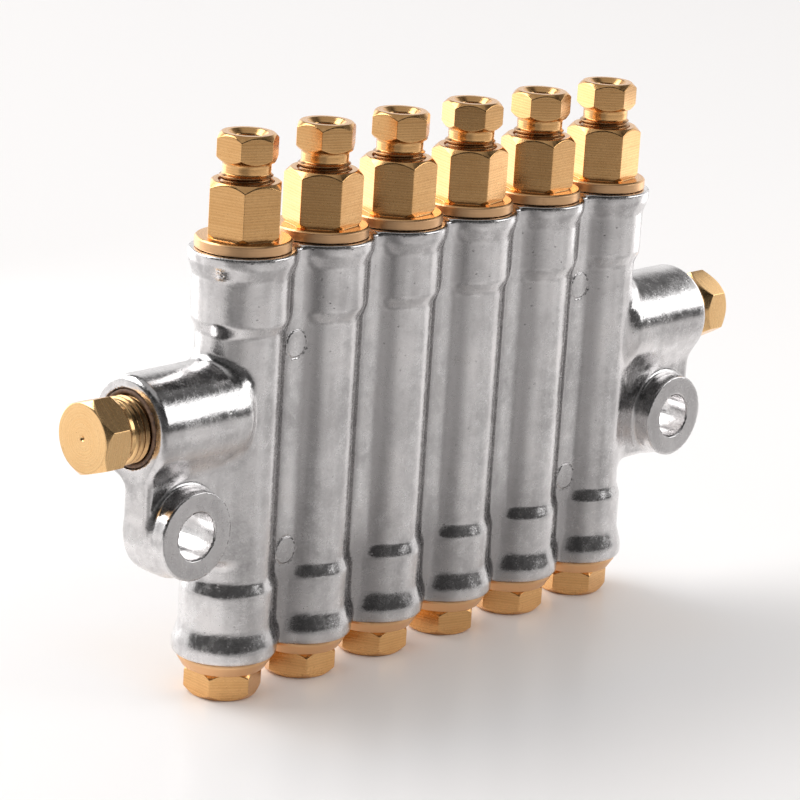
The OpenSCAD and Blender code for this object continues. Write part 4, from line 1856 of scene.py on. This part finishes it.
@dataclass(frozen=True)
class RoomLight:
    """A white room to matt things; metals mirror it white at the back, dark overhead and in front."""

    ambient: float = 0.72
    white: Triple = (1.0, 0.99, 0.985)
    front_turn: Band = (0.974, 0.225)
    front_band: Band = (-0.17, 0.0)
    front_share: float = 0.93
    overhead_band: Band = (0.38, 0.55)
    overhead_share: float = 0.85
    top_band: Band = (0.8, 0.93)
    top_light: float = 0.35

    def build(self, front: Vector, side: Vector) -> None:
        """Makes the world.

        Args:
            front: Level direction from the block towards the camera.
            side: Level direction to the right of the picture.
        """
        world = bpy.data.worlds.new("room")
        bpy.context.scene.world = world
        world.use_nodes = True
        g = Graph(world.node_tree)
        look = g.value("ShaderNodeTexCoord", None, None, "Generated")
        up = g.parts(look)[2]
        toward = g.dot(look, front * self.front_turn[0] + side * self.front_turn[1])
        top = up.eased(*self.top_band)
        overhead = up.eased(*self.overhead_band) * (1.0 - top * self.top_light)
        ahead = toward.eased(*self.front_band) * self.front_share * (1.0 - top)
        mirrored = (1.0 - ahead) * (1.0 - overhead * self.overhead_share)
        glossy = g.value("ShaderNodeLightPath", None, None, "Is Glossy Ray")
        level = mirrored * glossy + self.ambient * (1.0 - glossy)
        light = g.node("ShaderNodeBackground", None, {"Color": g.mix(level, BLACK, self.white)})
        g.node("ShaderNodeOutputWorld", None, {"Surface": Sock(g, light.outputs[0])})


@dataclass(frozen=True)
class Lamp:
    """An area lamp that faces the block; level is its face's brightness, where the white room is 1."""

    name: str
    place: Triple
    size: Tuple[float, float]
    level: float
    target: Triple = (0.0, 0.0, 0.04)

    def build(self) -> None:
        """Hangs the lamp."""
        data = bpy.data.lights.new(self.name, "AREA")
        data.shape = "RECTANGLE"
        data.size, data.size_y = self.size
        data.energy = self.level * math.pi * self.size[0] * self.size[1]
        lamp = bpy.data.objects.new(self.name, data)
        place = Vector(self.place)
        turn = (Vector(self.target) - place).to_track_quat("-Z", "Y").to_matrix().to_4x4()
        lamp.matrix_world = Matrix.Translation(place) @ turn
        bpy.context.scene.collection.objects.link(lamp)


@dataclass
class Studio:
    """Pale floor, soft lights and the camera of the photograph."""

    camera_place: Triple = (-363.38, -331.47, 176.84)
    aim: Triple = (-4.28, 0.0, 38.41)
    roll: float = 3.57
    lens: float = 152.19
    sensor: float = 36.0
    clip_start: float = 0.01
    floor_size: float = 16.0
    floor: FloorFinish = FloorFinish()
    room: RoomLight = RoomLight()
    lamps: Tuple[Lamp, ...] = (
        Lamp("back_window", (-0.9, 1.5, 1.5), (1.8, 1.4), 4.0),
        Lamp("right_softbox", (0.46, -0.45, 0.325), (0.4, 0.35), 2.2),
        Lamp("left_card", (-0.025, 0.185, 0.08), (0.17, 0.16), 1.2),
        Lamp("right_card", (0.088, -0.012, 0.058), (0.028, 0.028), 0.9),
    )

    def _camera(self) -> None:
        """Looks from camera_place to aim, rolled about the line of sight."""
        place, aim = Vector(self.camera_place) * MM, Vector(self.aim) * MM
        turn = (aim - place).to_track_quat("-Z", "Y").to_matrix().to_4x4()
        roll = Matrix.Rotation(math.radians(self.roll), 4, "Z")
        data = bpy.data.cameras.new("camera")
        data.sensor_width = self.sensor
        data.lens = self.lens
        data.clip_start = self.clip_start
        camera = bpy.data.objects.new("camera", data)
        camera.matrix_world = Matrix.Translation(place) @ turn @ roll
        bpy.context.scene.collection.objects.link(camera)
        bpy.context.scene.camera = camera

    def _floor(self, side: Vector) -> None:
        """Lays the floor under the plugs as one square.

        Args:
            side: Level direction to the right of the picture.
        """
        half = self.floor_size / MM / 2
        points = np.array([[-half, -half, 0], [half, -half, 0], [half, half, 0], [-half, half, 0]], float)
        floor = Surface(points, np.array([[0, 1, 2, 3]])).to_object("floor")
        floor.data.materials.append(self.floor.build(side))

    def build(self) -> None:
        """Sets up floor, light and camera."""
        front = Vector((*self.camera_place[:2], 0.0)).normalized()
        side = Vector((-front.y, front.x, 0.0))
        self._camera()
        self._floor(side)
        self.room.build(front, side)
        for lamp in self.lamps:
            lamp.build()
        bpy.context.scene.view_settings.view_transform = "Standard"


def main() -> None:
    """Builds the studio and the block, piece by piece."""
    logging.basicConfig(level=logging.INFO, format="%(name)s: %(message)s")
    Studio().build()
    finishes = Finishes.make()
    InnerParts().dress(finishes)
    Brassware().build(finishes.brass, finishes.faced_brass)
    for spring in ReturnSpring.row():
        spring.build(finishes.steel)
    Casting().build(finishes.cast)


if __name__ == "__main__":
    main()
